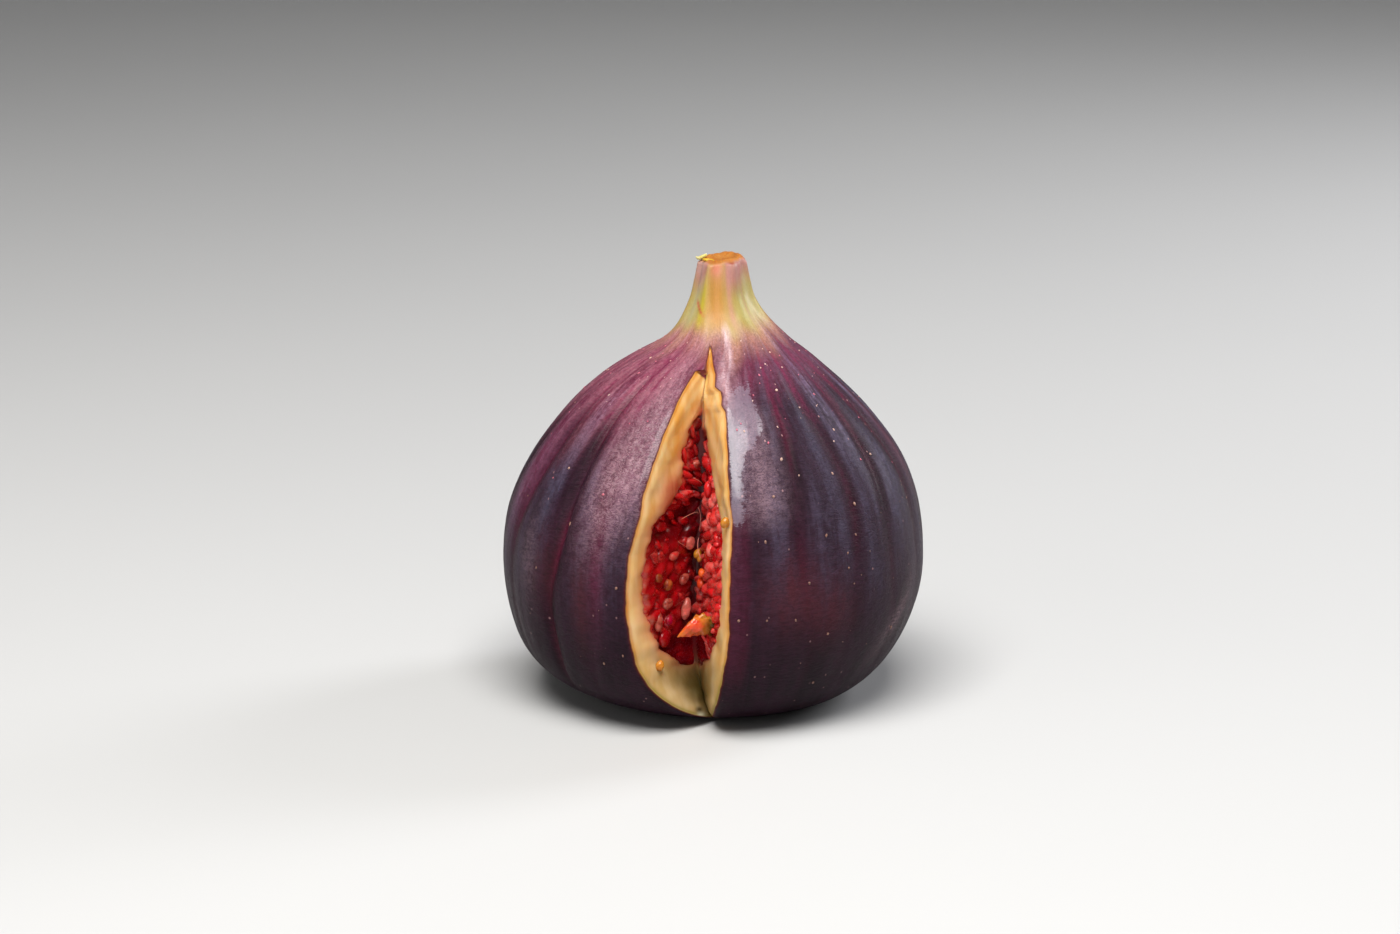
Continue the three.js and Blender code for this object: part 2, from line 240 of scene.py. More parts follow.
def skin(theta, r, z):
    """Points of the skin, in millimetres."""
    dip, _ = groove(theta, r, z)
    body = between(z, 3, 12, 40, 48)
    lumps = 0.13 * (waves(theta, z, 3, 6, (3, 9), (0.1, 0.3)) - 1) * body
    fine = 0.02 * (waves(theta, z, 5, 8, (30, 70), (0.02, 0.2)) - 1) * body
    angle, height = DENT
    dent = 0.18 * patch(theta, z, angle, 4.5, height, 2.6) - 0.28 * patch(theta, z, angle, 3, height, 1.3)
    shoulder = between(z, 33, 42, 46, 49)
    pleats = 0.05 * (waves(theta, 0.1 * z, 9, 9, (34, 62), (0.1, 0.6)) - 1) * shoulder
    rho = r - dip + stalk_ridge(theta, z) + lumps + fine + pleats + dent
    a = np.radians(theta)
    return np.stack([rho * np.sin(a) + lean(z), -rho * np.cos(a), z + 0 * rho], -1)


def lip_table(table, z):
    grid = np.arange(0, 49, 0.1)
    line = np.interp(grid, table[:, 0], table[:, 1])
    kernel = bell(np.arange(-12, 13), 0, 6)
    soft = np.convolve(np.pad(line, 12, mode="edge"), kernel / kernel.sum(), "valid")
    line = np.where(grid < 40.5, soft, line)
    jag = 0.22 * np.sin(grid * 1.3 + 1) * np.sin(grid * 0.47)
    jag += 0.07 * np.sin(grid * 4.7 + 2) * np.sin(grid * 1.1)
    return np.interp(z, grid, line + jag)


def opening(z):
    return between(z, 0.35, 0.9, 47.5, 48.1)


def lips(s):
    """Angles of the left and the right lip and how far the cut is open, for positions on the outline."""
    z = spline(OUTLINE, s)[..., 1]
    left, right, share = lip_table(LEFT_LIP, z), lip_table(RIGHT_LIP, z), opening(z) * (np.asarray(s) > 0.3)
    middle = (left + right) / 2
    return middle + (left - middle) * share, middle + (right - middle) * share, share


def cut_bottom(s):
    t = np.interp(s, CUT_BOTTOM[:, 0], np.arange(len(CUT_BOTTOM)))
    angle, r, z = np.moveaxis(spline(CUT_BOTTOM[:, 1:], t), -1, 0)
    a = np.radians(angle)
    return np.stack([r * np.sin(a) + lean(z), -r * np.cos(a), z], -1)


def wall(side, s, share):
    """Points on a flat wall of the cut. The side is -1 or 1; share 0 is the lip and 1 the bottom."""
    s = np.asarray(s, float)
    left, right, open_share = lips(s)
    place = spline(OUTLINE, s)
    lip = skin(left if side < 0 else right, place[..., 0], place[..., 1])
    shut = skin((left + right) / 2, place[..., 0], place[..., 1])
    bottom = cut_bottom(s) + np.array([0.12 * side, 0, 0])
    bottom = shut + (bottom - shut) * open_share[..., None]
    return lip + (bottom - lip) * np.asarray(share, float)[..., None]


def wall_frame(side, s, share):
    """Unit vectors at a place on a wall: out into the open cut, inwards along it, and upwards along it."""
    inwards = unit(wall(side, s, np.full_like(s, 1.0)) - wall(side, s, np.zeros_like(s)))
    upwards = unit(wall(side, s + 0.05, share) - wall(side, s - 0.05, share))
    out = unit(np.cross(upwards, inwards)) * side
    return out, inwards, unit(np.cross(inwards, out) * side)


PULP_LINE = spline(PULP, np.linspace(0, len(PULP) - 1, PULP_POINTS))


def pulp_distance(points, side):
    """Distance to the pulp's ragged boundary in millimetres, below zero inside it."""
    z = points[..., 2]
    r = np.hypot(points[..., 0] - lean(z), points[..., 1])
    flat = np.stack([r.ravel(), z.ravel()], -1)
    near = np.empty(len(flat))
    for i in range(0, len(flat), CHUNK):
        gap = flat[i : i + CHUNK, None] - PULP_LINE[None]
        near[i : i + CHUNK] = np.sqrt((gap**2).sum(-1)).min(1)
    top = PULP_LINE[:, 1].argmax()
    bulge = np.interp(z.ravel(), PULP_LINE[: top + 1, 1], PULP_LINE[: top + 1, 0])
    inside = (flat[:, 0] < bulge) & (z.ravel() > PULP_LOW) & (z.ravel() < PULP_HIGH)
    ragged = 0.2 * np.sin(2.3 * z + 1.1 * side) + 0.13 * np.sin(5.1 * z - r.reshape(z.shape))
    step = bell(z, 31.8, 1.9) - 0.75 * bell(z, 27.6, 1.6)
    step = step - 0.8 * bell(z, 35.5, 1.8) - 1.2 * bell(z, 38.6, 1.8)
    if side > 0:
        step = 0.9 * bell(z, 36.4, 3.2) + 0.3 * bell(z, 31, 2)
    return np.where(inside, -near, near).reshape(z.shape) + ragged + step


# Mesh helpers
def add_object(name, data):
    made = bpy.data.objects.new(name, data)
    bpy.context.scene.collection.objects.link(made)
    return made


class Builder:
    """Collects points, faces and per-point values for one mesh."""

    def __init__(self):
        self.points, self.faces, self.values = [], [], {}
        self.count = 0

    def add(self, points, faces, **values):
        points = np.asarray(points, float).reshape(-1, 3)
        self.points.append(points)
        self.faces.extend([[int(i) + self.count for i in face] for face in faces])
        for name, value in values.items():
            value = np.asarray(value, float)
            width = 3 if name in ("tint", "alt", "grow") else 1
            full = np.broadcast_to(value.reshape(-1, width), (len(points), width))
            self.values.setdefault(name, []).append(full)
        self.count += len(points)

    def build(self, name, material, weld=None):
        mesh = bpy.data.meshes.new(name)
        mesh.from_pydata((np.concatenate(self.points) * MM).tolist(), [], self.faces)
        for key, chunks in self.values.items():
            data = np.concatenate(chunks).astype(np.float32)
            kind, field = ("FLOAT_VECTOR", "vector") if data.shape[1] == 3 else ("FLOAT", "value")
            mesh.attributes.new(key, kind, "POINT").data.foreach_set(field, data.ravel())
        bm = bmesh.new()
        bm.from_mesh(mesh)
        if weld:
            bmesh.ops.remove_doubles(bm, verts=bm.verts, dist=weld * MM)
            bmesh.ops.dissolve_degenerate(bm, edges=bm.edges, dist=weld * MM * 0.5)
        for face in bm.faces:
            face.smooth = True
        bm.to_mesh(mesh)
        bm.free()
        mesh.materials.append(material)
        return add_object(name, mesh)


def grid_faces(rows, columns, wrap=False):
    across = columns if wrap else columns - 1
    faces = []
    for i in range(rows - 1):
        for j in range(across):
            k = (j + 1) % columns
            faces.append([i * columns + j, i * columns + k, (i + 1) * columns + k, (i + 1) * columns + j])
    return faces


def tube_faces(rows, sides):
    """Faces of a tube whose rings follow each other, closed at both ends."""
    ends = [list(range(sides))[::-1], [(rows - 1) * sides + k for k in range(sides)]]
    return grid_faces(rows, sides, wrap=True) + ends


def joined(left, right):
    """The grids of the two walls side by side, the right one from its bottom to its lip."""
    return np.concatenate([left, right[:, ::-1]], 1)


def ball(level):
    bm = bmesh.new()
    bmesh.ops.create_icosphere(bm, subdivisions=level, radius=1)
    points = np.array([v.co for v in bm.verts])
    faces = [[v.index for v in f.verts] for f in bm.faces]
    bm.free()
    return points, faces


BALLS = {level: ball(level) for level in (1, 2, 3)}


def pebble(builder, centre, x, z, size, level=2, bend=0.0, taper=0.0, lump=0.0, seed=0, **values):
    """A soft, egg-like body. x and z are its long and upward directions, and size its three half widths."""
    points, faces = BALLS[level]
    x = unit(x)
    z = unit(np.asarray(z, float) - np.dot(z, x) * x)
    y = np.cross(z, x)
    p = points.copy()
    slim = 1 - taper * p[:, 0:1]
    p = np.concatenate([p[:, 0:1], p[:, 1:] * slim], 1)
    if lump:
        draw = np.random.default_rng(seed)
        for _ in range(3):
            p *= 1 + lump * np.sin(points @ draw.normal(0, 2.4, 3) + draw.uniform(0, 6))[:, None]
    p[:, 2] += bend * points[:, 0] ** 2
    p = p * np.asarray(size, float)
    world = np.asarray(centre, float) + p[:, 0:1] * x + p[:, 1:2] * y + p[:, 2:3] * z
    along = (points[:, 0] + 1) / 2
    builder.add(world, faces, **{k: (v(along) if callable(v) else v) for k, v in values.items()})


def strand(builder, path, radius, sides=7, **values):
    """A thin round thread along a path, closed at both ends."""
    path = np.asarray(path, float)
    forward = unit(np.gradient(path, axis=0))
    up = np.array([0.3, -0.2, 0.93])
    points = []
    for i, (place, ahead) in enumerate(zip(path, forward)):
        a = unit(np.cross(ahead, up))
        b = np.cross(ahead, a)
        thick = radius * (0.35 if i in (0, len(path) - 1) else 1)
        for k in range(sides):
            angle = 2 * math.pi * k / sides
            points.append(place + thick * (math.cos(angle) * a + math.sin(angle) * b))
    builder.add(points, tube_faces(len(path), sides), **values)


# Node helpers
class Graph:
    """A node material whose parts are written as plain calls."""

    def __init__(self, name):
        self.material = bpy.data.materials.new(name)
        self.material.use_nodes = True
        self.tree = self.material.node_tree
        self.shader = self.tree.nodes["Principled BSDF"]

    def put(self, socket, value):
        if isinstance(value, bpy.types.NodeSocket):
            self.tree.links.new(value, socket)
        else:
            socket.default_value = value

    def node(self, kind, *inputs, **settings):
        made = self.tree.nodes.new(kind)
        for key, value in settings.items():
            setattr(made, key, value)
        for i, value in enumerate(inputs):
            if value is not None:
                self.put(made.inputs[i], value)
        return made

    def attribute(self, name, output="Fac"):
        return self.node("ShaderNodeAttribute", attribute_name=name).outputs[output]

    def maths(self, operation, a, b=0.0, clamp=False):
        return self.node("ShaderNodeMath", a, b, operation=operation, use_clamp=clamp).outputs[0]

    def times(self, a, b, clamp=False):
        return self.maths("MULTIPLY", a, b, clamp)

    def plus(self, a, b, clamp=False):
        return self.maths("ADD", a, b, clamp)

    def minus(self, a, b, clamp=False):
        return self.maths("SUBTRACT", a, b, clamp)

    def place(self):
        return self.node("ShaderNodeTexCoord").outputs["Object"]

    def mapped(self, vector, scale):
        made = self.node("ShaderNodeMapping", vector)
        made.inputs["Scale"].default_value = scale
        return made.outputs[0]

    def noise(self, vector, scale, detail=3.0, rough=0.5, twist=0.0):
        made = self.node("ShaderNodeTexNoise", vector)
        for key, value in (("Scale", scale), ("Detail", detail), ("Roughness", rough), ("Distortion", twist)):
            made.inputs[key].default_value = value
        return made.outputs["Fac"]

    def grain(self, vector, stretch, detail=3.0, rough=0.5, twist=0.0):
        return self.noise(self.mapped(vector, stretch), 1.0, detail, rough, twist)

    def ramp(self, value, low, high, start=0.0, end=1.0):
        made = self.node("ShaderNodeMapRange", value, low, high, start, end, interpolation_type="SMOOTHSTEP")
        return made.outputs[0]

    def blend(self, share, a, b, how="MIX"):
        made = self.tree.nodes.new("ShaderNodeMix")
        made.data_type, made.blend_type = "RGBA", how
        self.put(made.inputs[0], share)
        self.put(made.inputs[6], a)
        self.put(made.inputs[7], b)
        return made.outputs[2]

    def cells(self, vector, scale, feature="F1"):
        made = self.node("ShaderNodeTexVoronoi", vector, feature=feature)
        made.inputs["Scale"].default_value = scale
        return made.outputs

    def bump(self, height, strength, distance):
        made = self.tree.nodes.new("ShaderNodeBump")
        self.put(made.inputs["Strength"], strength)
        made.inputs["Distance"].default_value = distance
        self.put(made.inputs["Height"], height)
        self.put(self.shader.inputs["Normal"], made.outputs[0])

    def set(self, **sockets):
        for key, value in sockets.items():
            self.put(self.shader.inputs[key.replace("_", " ")], value)


def rind_material():
    """Skin and flesh. Each point carries two colours, and fine procedural noise picks between them."""
    g = Graph("fig_rind")
    place = g.place()
    grow = g.attribute("grow", "Vector")
    flesh, speck, gloss = g.attribute("flesh"), g.attribute("speck"), g.attribute("gloss")
    bare = g.minus(1.0, flesh)
    # Streaks down the skin and blotches pick between its two colours, and fibres do so in the flesh
    streaks = g.grain(grow, (0.5, 0.5, 0.06), 5, 0.66, 0.4)
    mottle = g.grain(grow, (0.9, 0.9, 0.6), 5, 0.65, 0.6)
    mixed = g.plus(g.times(streaks, 0.62), g.times(mottle, 0.42))
    fibres = g.grain(place, (520, 300, 130), 3, 0.5, 0.5)
    pick = g.times(g.ramp(mixed, 0.4, 0.66), bare)
    pick = g.plus(pick, g.times(g.ramp(fibres, 0.3, 0.7), flesh))
    colour = g.blend(pick, g.attribute("tint", "Color"), g.attribute("alt", "Color"))
    # Fine wrinkles across the skin
    folds = g.grain(grow, (1.0, 1.0, 2.6), 5, 0.72, 0.9)
    shade = g.blend(g.ramp(folds, 0.32, 0.68), (0.66, 0.6, 0.64, 1), (1.3, 1.28, 1.28, 1))
    colour = g.blend(g.times(bare, 0.8), colour, g.blend(1.0, colour, shade, "MULTIPLY"))
    # Gloss in ragged, flecked blotches, lightened to pale lavender there as a painted reflection
    blotch = g.grain(grow, (0.8, 0.8, 0.42), 4, 0.6, 0.7)
    ragged = g.plus(g.times(g.minus(blotch, 0.5), 1.7), gloss)
    ragged = g.plus(g.times(g.minus(folds, 0.5), 2.4), ragged)
    gloss_with_sheen = g.times(g.ramp(ragged, 0.42, 0.66), g.ramp(gloss, 0.04, 0.22), True)
    colour = g.blend(g.times(gloss_with_sheen, 0.3), colour, (0.34, 0.3, 0.38, 1))
    # Tiny pale pores, closer together towards the neck
    dots = g.cells(g.mapped(grow, (1, 1, 0.8)), 0.5)
    dot = g.times(g.ramp(dots["Distance"], 0.08, 0.045), g.attribute("pores"), True)
    colour = g.blend(dot, colour, (0.55, 0.3, 0.3, 1))
    # The crackled, leathery patches: thin dark wrinkles on a shinier ground, made paler by a painted
    # highlight
    threads = g.grain(grow, (0.85, 0.85, 1.9), 5, 0.7, 1.3)
    ridge = g.maths("ABSOLUTE", g.minus(threads, 0.5))
    ground = g.times(g.ramp(ridge, 0.012, 0.06), g.ramp(mottle, 0.36, 0.54, 0.45, 1.0))
    flakes_and_highlight = g.times(ground, speck, True)
    colour = g.blend(g.times(flakes_and_highlight, 0.8), colour, (0.6, 0.37, 0.42, 1))
    rough = g.plus(g.attribute("rough"), g.times(g.minus(mottle, 0.5), 0.35))
    rough = g.minus(rough, g.times(flakes_and_highlight, 0.14))
    rough = g.minus(rough, g.times(gloss_with_sheen, 0.26), True)
    wet = g.plus(g.attribute("wet"), g.times(gloss_with_sheen, 0.55), True)
    relief = g.plus(g.times(folds, 1.1), g.times(g.times(ridge, speck), 5.0))
    relief = g.blend(flesh, relief, g.grain(place, (800, 500, 260), 3, 0.5, 0.4))
    g.bump(relief, g.attribute("wrinkle"), 0.00022)
    g.set(Base_Color=colour, Roughness=rough, Subsurface_Weight=g.attribute("soft"), Coat_Weight=wet)
    g.set(Subsurface_Radius=(1.0, 0.42, 0.2), Subsurface_Scale=0.0016, Coat_Roughness=0.17)
    g.set(Specular_IOR_Level=0.09)
    return g.material


def pulp_material():
    """Wet, translucent pulp and the shells of the seeds in it."""
    g = Graph("fig_pulp")
    place = g.place()
    veins = g.grain(place, (900, 900, 1500), 4, 0.62, 0.8)
    colour = g.blend(g.ramp(veins, 0.36, 0.68), g.attribute("tint", "Color"), g.attribute("alt", "Color"))
    grain = g.noise(place, 4200, 3, 0.6)
    g.bump(veins, 0.4, 0.0002)
    g.set(Base_Color=colour, Roughness=g.ramp(grain, 0.3, 0.8, 0.2, 0.34))
    g.set(Subsurface_Weight=g.attribute("soft"))
    g.set(Subsurface_Radius=(1.0, 0.1, 0.07), Subsurface_Scale=0.0014, Coat_Weight=0.5, Coat_Roughness=0.04)
    g.set(Specular_IOR_Level=0.12)
    return g.material


RIND, JUICY = rind_material(), pulp_material()

# Colours (linear)
INK = (0.01, 0.003, 0.007)
VIOLET = (0.026, 0.008, 0.018)
SLATE = (0.038, 0.029, 0.05)
BLOOM = (0.085, 0.072, 0.115)
MAROON = (0.08, 0.005, 0.02)
MAGENTA = (0.22, 0.035, 0.075)
MAUVE = (0.37, 0.145, 0.185)
RUSSET = (0.1, 0.02, 0.027)
PEACH = (0.5, 0.24, 0.15)
LEAF = (0.33, 0.27, 0.04)
LIME = (0.42, 0.36, 0.15)
TAN = (0.44, 0.2, 0.035)
CREAM = (0.7, 0.45, 0.16)
PALE = (0.77, 0.57, 0.31)
AMBER = (0.7, 0.28, 0.03)
KHAKI = (0.18, 0.115, 0.04)
OLIVE = (0.07, 0.045, 0.006)
BARK = (0.11, 0.014, 0.006)
BLUSH = (0.78, 0.27, 0.15)
CRIMSON = (0.28, 0.002, 0.005)
SCARLET = (0.6, 0.009, 0.012)
SALMON = (0.8, 0.07, 0.055)
ROSE = (0.82, 0.19, 0.16)
# Dark red for painted shade deep in the cut
SHADE_CRIMSON = (0.07, 0.0006, 0.003)
SHELL = (0.46, 0.1, 0.07)
BROWN = (0.2, 0.02, 0.012)


# Skin and flesh
def outline_rows():
    """Radius, height and position on the outline for every row of the skin, from the eye upwards."""
    s = np.linspace(0, 17, 3000)
    place = spline(OUTLINE, s)
    length = np.concatenate([[0], np.cumsum(np.linalg.norm(np.diff(place, axis=0), axis=1))])
    s = np.interp(np.linspace(0, length[-1], SKIN_ROWS), length, s)
    # The rows are closer together where the cut ends raggedly
    s = np.sort(np.concatenate([s, np.linspace(11.02, 11.62, 14)]))
    place = spline(OUTLINE, s)
    under = [[0, 1.3], [0.7, 1.28], [1.4, 1.2], [2.1, 1.1], [2.7, 0.8], [3.4, 0.25]]
    under += [[radius, 0] for radius in (4.1, 6, 8, 10)]
    over = [[2, 58.5], [1.7, 58.36], [1.2, 58.24], [0.6, 58.2], [0, 58.18]]
    r = np.concatenate([[p[0] for p in under], place[:, 0], [p[0] for p in over]])
    z = np.concatenate([[p[1] for p in under], place[:, 1], [p[1] for p in over]])
    s = np.concatenate([np.zeros(len(under)), s, np.full(len(over), 17.0)])
    return r, z, s


# Patches of the skin: angle, height, half width in degrees, half height and strength.
# Magenta ribs far round on the left, beside the cut and at the back
MAGENTA_RIBS = ((-76, 33, 7, 8, 0.75), (-33, 22, 2.5, 8, 0.4), (84, 35, 5, 6, 0.4), (160, 34, 6, 7, 0.5))
# Russet blushes low on the right and round the back
BLUSHES = (
    (22, 20, 9, 5, 0.6), (34, 17, 7, 4, 0.4), (-53, 21, 5, 5, 0.3), (-38, 18, 3, 7, 0.4),
    (118, 24, 12, 6, 0.6), (190, 15, 14, 5, 0.5), (245, 28, 9, 7, 0.5), (-62, 36, 4, 4, 0.4),
)
# Facets of the stalk: angle, half width in degrees, strength and two colours
ROSY_STALK = (0.4, 0.17, 0.2)
FACETS = (
    (-12, 21, 1.0, TAN, (0.52, 0.27, 0.09)), (-38, 6, 0.9, (0.45, 0.36, 0.02), (0.5, 0.4, 0.05)),
    (-64, 15, 0.9, LIME, (0.46, 0.42, 0.24)), (13, 5, 0.7, (0.5, 0.26, 0.2), PEACH), (32, 9, 0.8, LEAF, LIME),
    (44, 3, 0.3, (0.36, 0.14, 0.17), MAUVE), (62, 12, 0.7, LIME, (0.46, 0.4, 0.24)),
    (112, 14, 0.8, TAN, PEACH), (150, 9, 0.6, ROSY_STALK, MAUVE), (200, 16, 0.8, TAN, LEAF),
    (240, 9, 0.6, ROSY_STALK, MAUVE), (268, 13, 0.7, TAN, LIME),
)


def skin_looks(theta, r, z, lip_gap, over_cut):
    """Two colours and the surface values of the skin at each point."""
    t = away(theta, 0)
    _, crease = groove(theta, r, z)
    dip, _ = groove(theta, np.full_like(r, 14.0), z)
    crest = limit(1 - dip / 0.2)
    belly = 1 - smooth(z, 36, 43)
    left = smooth(-t, 8, 30) * smooth(t, -175, -120)
    alt = mix(VIOLET, SLATE, smooth(z, 10, 28) * crest)
    # Violet skin that darkens towards the bottom as painted shade
    paint = Paint(mix(INK, VIOLET, smooth(z, 4, 24)), alt)
    # Blue-grey bloom in patches on the ribs, and darker, redder patches between them
    patchy = limit(0.7 + 0.6 * waves(theta, z, 21, 7, (4, 16), (0.1, 0.35)))
    bloom = bell(z, 33, 9) * crest * patchy
    paint.lay(SLATE, 0.75 * bloom, BLOOM, 0.95 * bloom)
    dusk = limit(waves(theta, z, 33, 7, (5, 20), (0.1, 0.5))) * belly
    paint.lay(INK, 0.5 * dusk, VIOLET, 0.5 * dusk)
    # Rosy shoulders, strongest and lightest on the left and darker on the right, partly the skin's own colour
    # and partly painted light and shade, with lilac left on the ribs
    right = between(t, 4, 22, 120, 170)
    rosy = smooth(z, 31 + 6 * (1 - left) + 4 * right, 45 + 1.5 * right) * (0.6 + 0.4 * left)
    shoulder = mix(MAUVE, (0.22, 0.085, 0.15), right)
    paint.lay(MAGENTA, rosy * (0.6 + 0.4 * (1 - crest)), shoulder, rosy * (0.85 + 0.15 * crest))
    lilac = crest * bell(z, 41, 3.5) * limit(waves(theta, z, 8, 6, (6, 15), (0.05, 0.15)))
    paint.alt = mix(paint.alt, (0.26, 0.2, 0.32), 0.7 * lilac)
    # The grooves are nearly black on the belly, partly the skin's own colour and partly painted shade, and
    # wine red along their bottoms and on the shoulders
    hollow = smooth(dip, 0.06, 0.3)
    paint.lay(INK, 0.85 * hollow * belly, VIOLET, 0.8 * hollow * belly)
    paint.lay((0.2, 0.02, 0.07), 0.6 * hollow * (1 - belly))
    uneven = np.clip(0.6 + waves(theta, z, 4, 6, (3, 9), (0.1, 0.4)), 0.15, 1)
    wine = limit(1.4 * crease) * (1 - 0.7 * smooth(z, 40, 46)) * uneven
    paint.lay(MAROON, 0.8 * wine, MAROON, 0.6 * wine)
    for angle, height, wide, tall, much in MAGENTA_RIBS:
        rib = patch(t, z, angle, wide, height, tall) * much
        paint.lay((0.13, 0.014, 0.045), rib, (0.2, 0.06, 0.11), rib)
    for angle, height, wide, tall, much in BLUSHES:
        spot = patch(t, z, angle, wide, height, tall) * much
        paint.lay(RUSSET, spot, RUSSET, spot * 0.6)
    # Painted shade: the skin turns near black towards the bottom
    paint.lay(INK, 0.85 * (1 - smooth(z, 2, 15)))
    paint.alt = mix(paint.alt, (0.02, 0.006, 0.014), 0.8 * (1 - smooth(z, 2, 17)))
    # The pale rib that runs down from the stalk beside the cut, and the rubbed, glossy patch on it, which the
    # skin's material lightens with a painted reflection
    rib = bell(t, 0.6 + 0.45 * (46 - z), 4.5) * between(z, 40, 43, 49.2, 51)
    shine_edge = 7.5 + 8.5 * smooth(z, 36, 39.5)
    shine = between(t, 3.2, 4.8, shine_edge - 1.5, shine_edge + 3.5) * smooth(z, 27.5, 31)
    shine = shine * (1 - smooth(z, 42.6, 45))
    # A dark wine-coloured strip along the right lip below the patch
    strip = between(t, 3, 5, 8, 11) * between(z, 5, 12, 29, 33)
    paint.lay((0.05, 0.006, 0.018), 0.85 * strip, (0.075, 0.012, 0.03), 0.7 * strip)
    # The crackled patch left of the cut and its weaker match on the right, paler partly as a painted
    # highlight, and scuffs round the fruit
    speck = bell(t, -29 - 0.5 * (36 - z), 8.5) * bell(z, 36.5, 8) * smooth(-t, 17.5, 21)
    fleck = bell(t, 13, 7) * between(z, 27, 32, 40, 43)
    scuff = bell(t, 61 - 1.3 * (13 - z), 4) * bell(z, 13.5, 4.5) + 0.8 * bell(t, -60, 4) * bell(z, 22, 5)
    scuff = scuff + patch(t, z, 140, 6, 20, 5) + patch(t, z, 222, 6, 36, 5)
    paint.lay((0.17, 0.04, 0.08), 0.8 * speck, (0.4, 0.17, 0.24), 0.8 * speck)
    paint.lay((0.11, 0.055, 0.08), 0.5 * fleck, (0.2, 0.13, 0.17), 0.5 * fleck)
    # The peach-coloured neck and the stalk: green at the sides, orange-tan in front and mauve above
    edge_wave = 0.5 * sine(3 * t + 20) + 0.4 * sine(11 * t) - 0.7 * right
    neck = smooth(z + edge_wave, 48, 51)
    peach = smooth(z + edge_wave + 0.4 * sine(17 * t), 45.4, 49.4)
    paint.lay(PEACH, 0.75 * peach, (0.5, 0.27, 0.24), 0.75 * peach)
    paint.lay(LEAF, 0.9 * neck, (0.38, 0.32, 0.09), 0.9 * neck)
    tall = smooth(z, 48.6, 51.2)
    for angle, wide, much, first, second in FACETS:
        facet = much * tall * bell(away(t, angle), 0, wide)
        paint.lay(first, facet, second, facet)
    aside = smooth(np.abs(away(t, -12)), 14, 30)
    flush = smooth(z + 0.8 * sine(4 * t), 53.4, 57.2) * (0.3 + 0.7 * aside)
    paint.lay((0.38, 0.13, 0.16), 0.8 * flush, (0.46, 0.22, 0.24), 0.7 * flush)
    # The rib's pale glaze is partly the skin's own paler colour and partly a painted sheen
    glaze_and_sheen = rib * (0.75 + 0.25 * np.sin(np.radians(40 * t) + 2 * z))
    paint.lay((0.5, 0.27, 0.29), 0.75 * glaze_and_sheen, (0.66, 0.5, 0.53), 0.85 * glaze_and_sheen)
    pink = patch(t, z, -14, 12, 56.9, 0.8)
    paint.lay(ROSE, 0.5 * pink, (0.7, 0.36, 0.3), 0.6 * pink)
    scratch = bell(away(t, -55 + 14 * (52.8 - z)), 0, 4) * between(z, 51, 51.5, 52.6, 53.1)
    paint.lay((0.4, 0.08, 0.04), scratch, (0.5, 0.12, 0.07), scratch)
    # The cut end of the stalk, dried orange-brown, darker at the front of its rim
    top = np.maximum(over_cut, smooth(z, 58, 58.35))
    paint.lay((0.36, 0.12, 0.02), top, (0.46, 0.2, 0.045), top)
    scorch = bell(z, 58, 0.25) * bell(away(t, 28), 0, 24)
    paint.lay((0.2, 0.02, 0.01), 0.9 * scorch, (0.3, 0.06, 0.02), 0.8 * scorch)
    # Under the fruit: the eye is rusty and dry
    eye = (1 - smooth(r, 3, 5.5)) * (z < 3)
    paint.lay((0.16, 0.06, 0.03), eye, (0.3, 0.14, 0.06), eye)
    # The skin dries brown right at the lips of the cut
    edge = 1 - smooth(lip_gap, 0.0, 0.3)
    paint.lay(BARK, 0.8 * edge, BARK, 0.8 * edge)
    rough = 0.5 - 0.1 * speck - 0.02 * neck - 0.05 * rib + 0.1 * smooth(-z, -14, -2)
    return {
        "tint": paint.tint,
        "alt": paint.alt,
        "rough": rough,
        "wet": 0.03 + 0.4 * speck + 0.05 * neck + 0.25 * glaze_and_sheen + 0.08 * rosy,
        "gloss": shine,
        "soft": 0.06 + 0.14 * neck,
        "speck": limit(speck + 0.25 * scuff + 0.3 * fleck),
        "wrinkle": 0.8 - 0.45 * shine - 0.7 * neck + 0.2 * speck,
        "pores": 0.35 + 0.65 * between(z, 28, 44, 47, 50),
        "flesh": 0.75 * neck,
    }


def mound_shape(side, z, reach):
    """Where the fuzzy, half see-through mound swells on the left face, beside the upper pulp."""
    return (side < 0) * bell(reach, 8.4, 2.5) * bell(z, 30.9, 2.5)


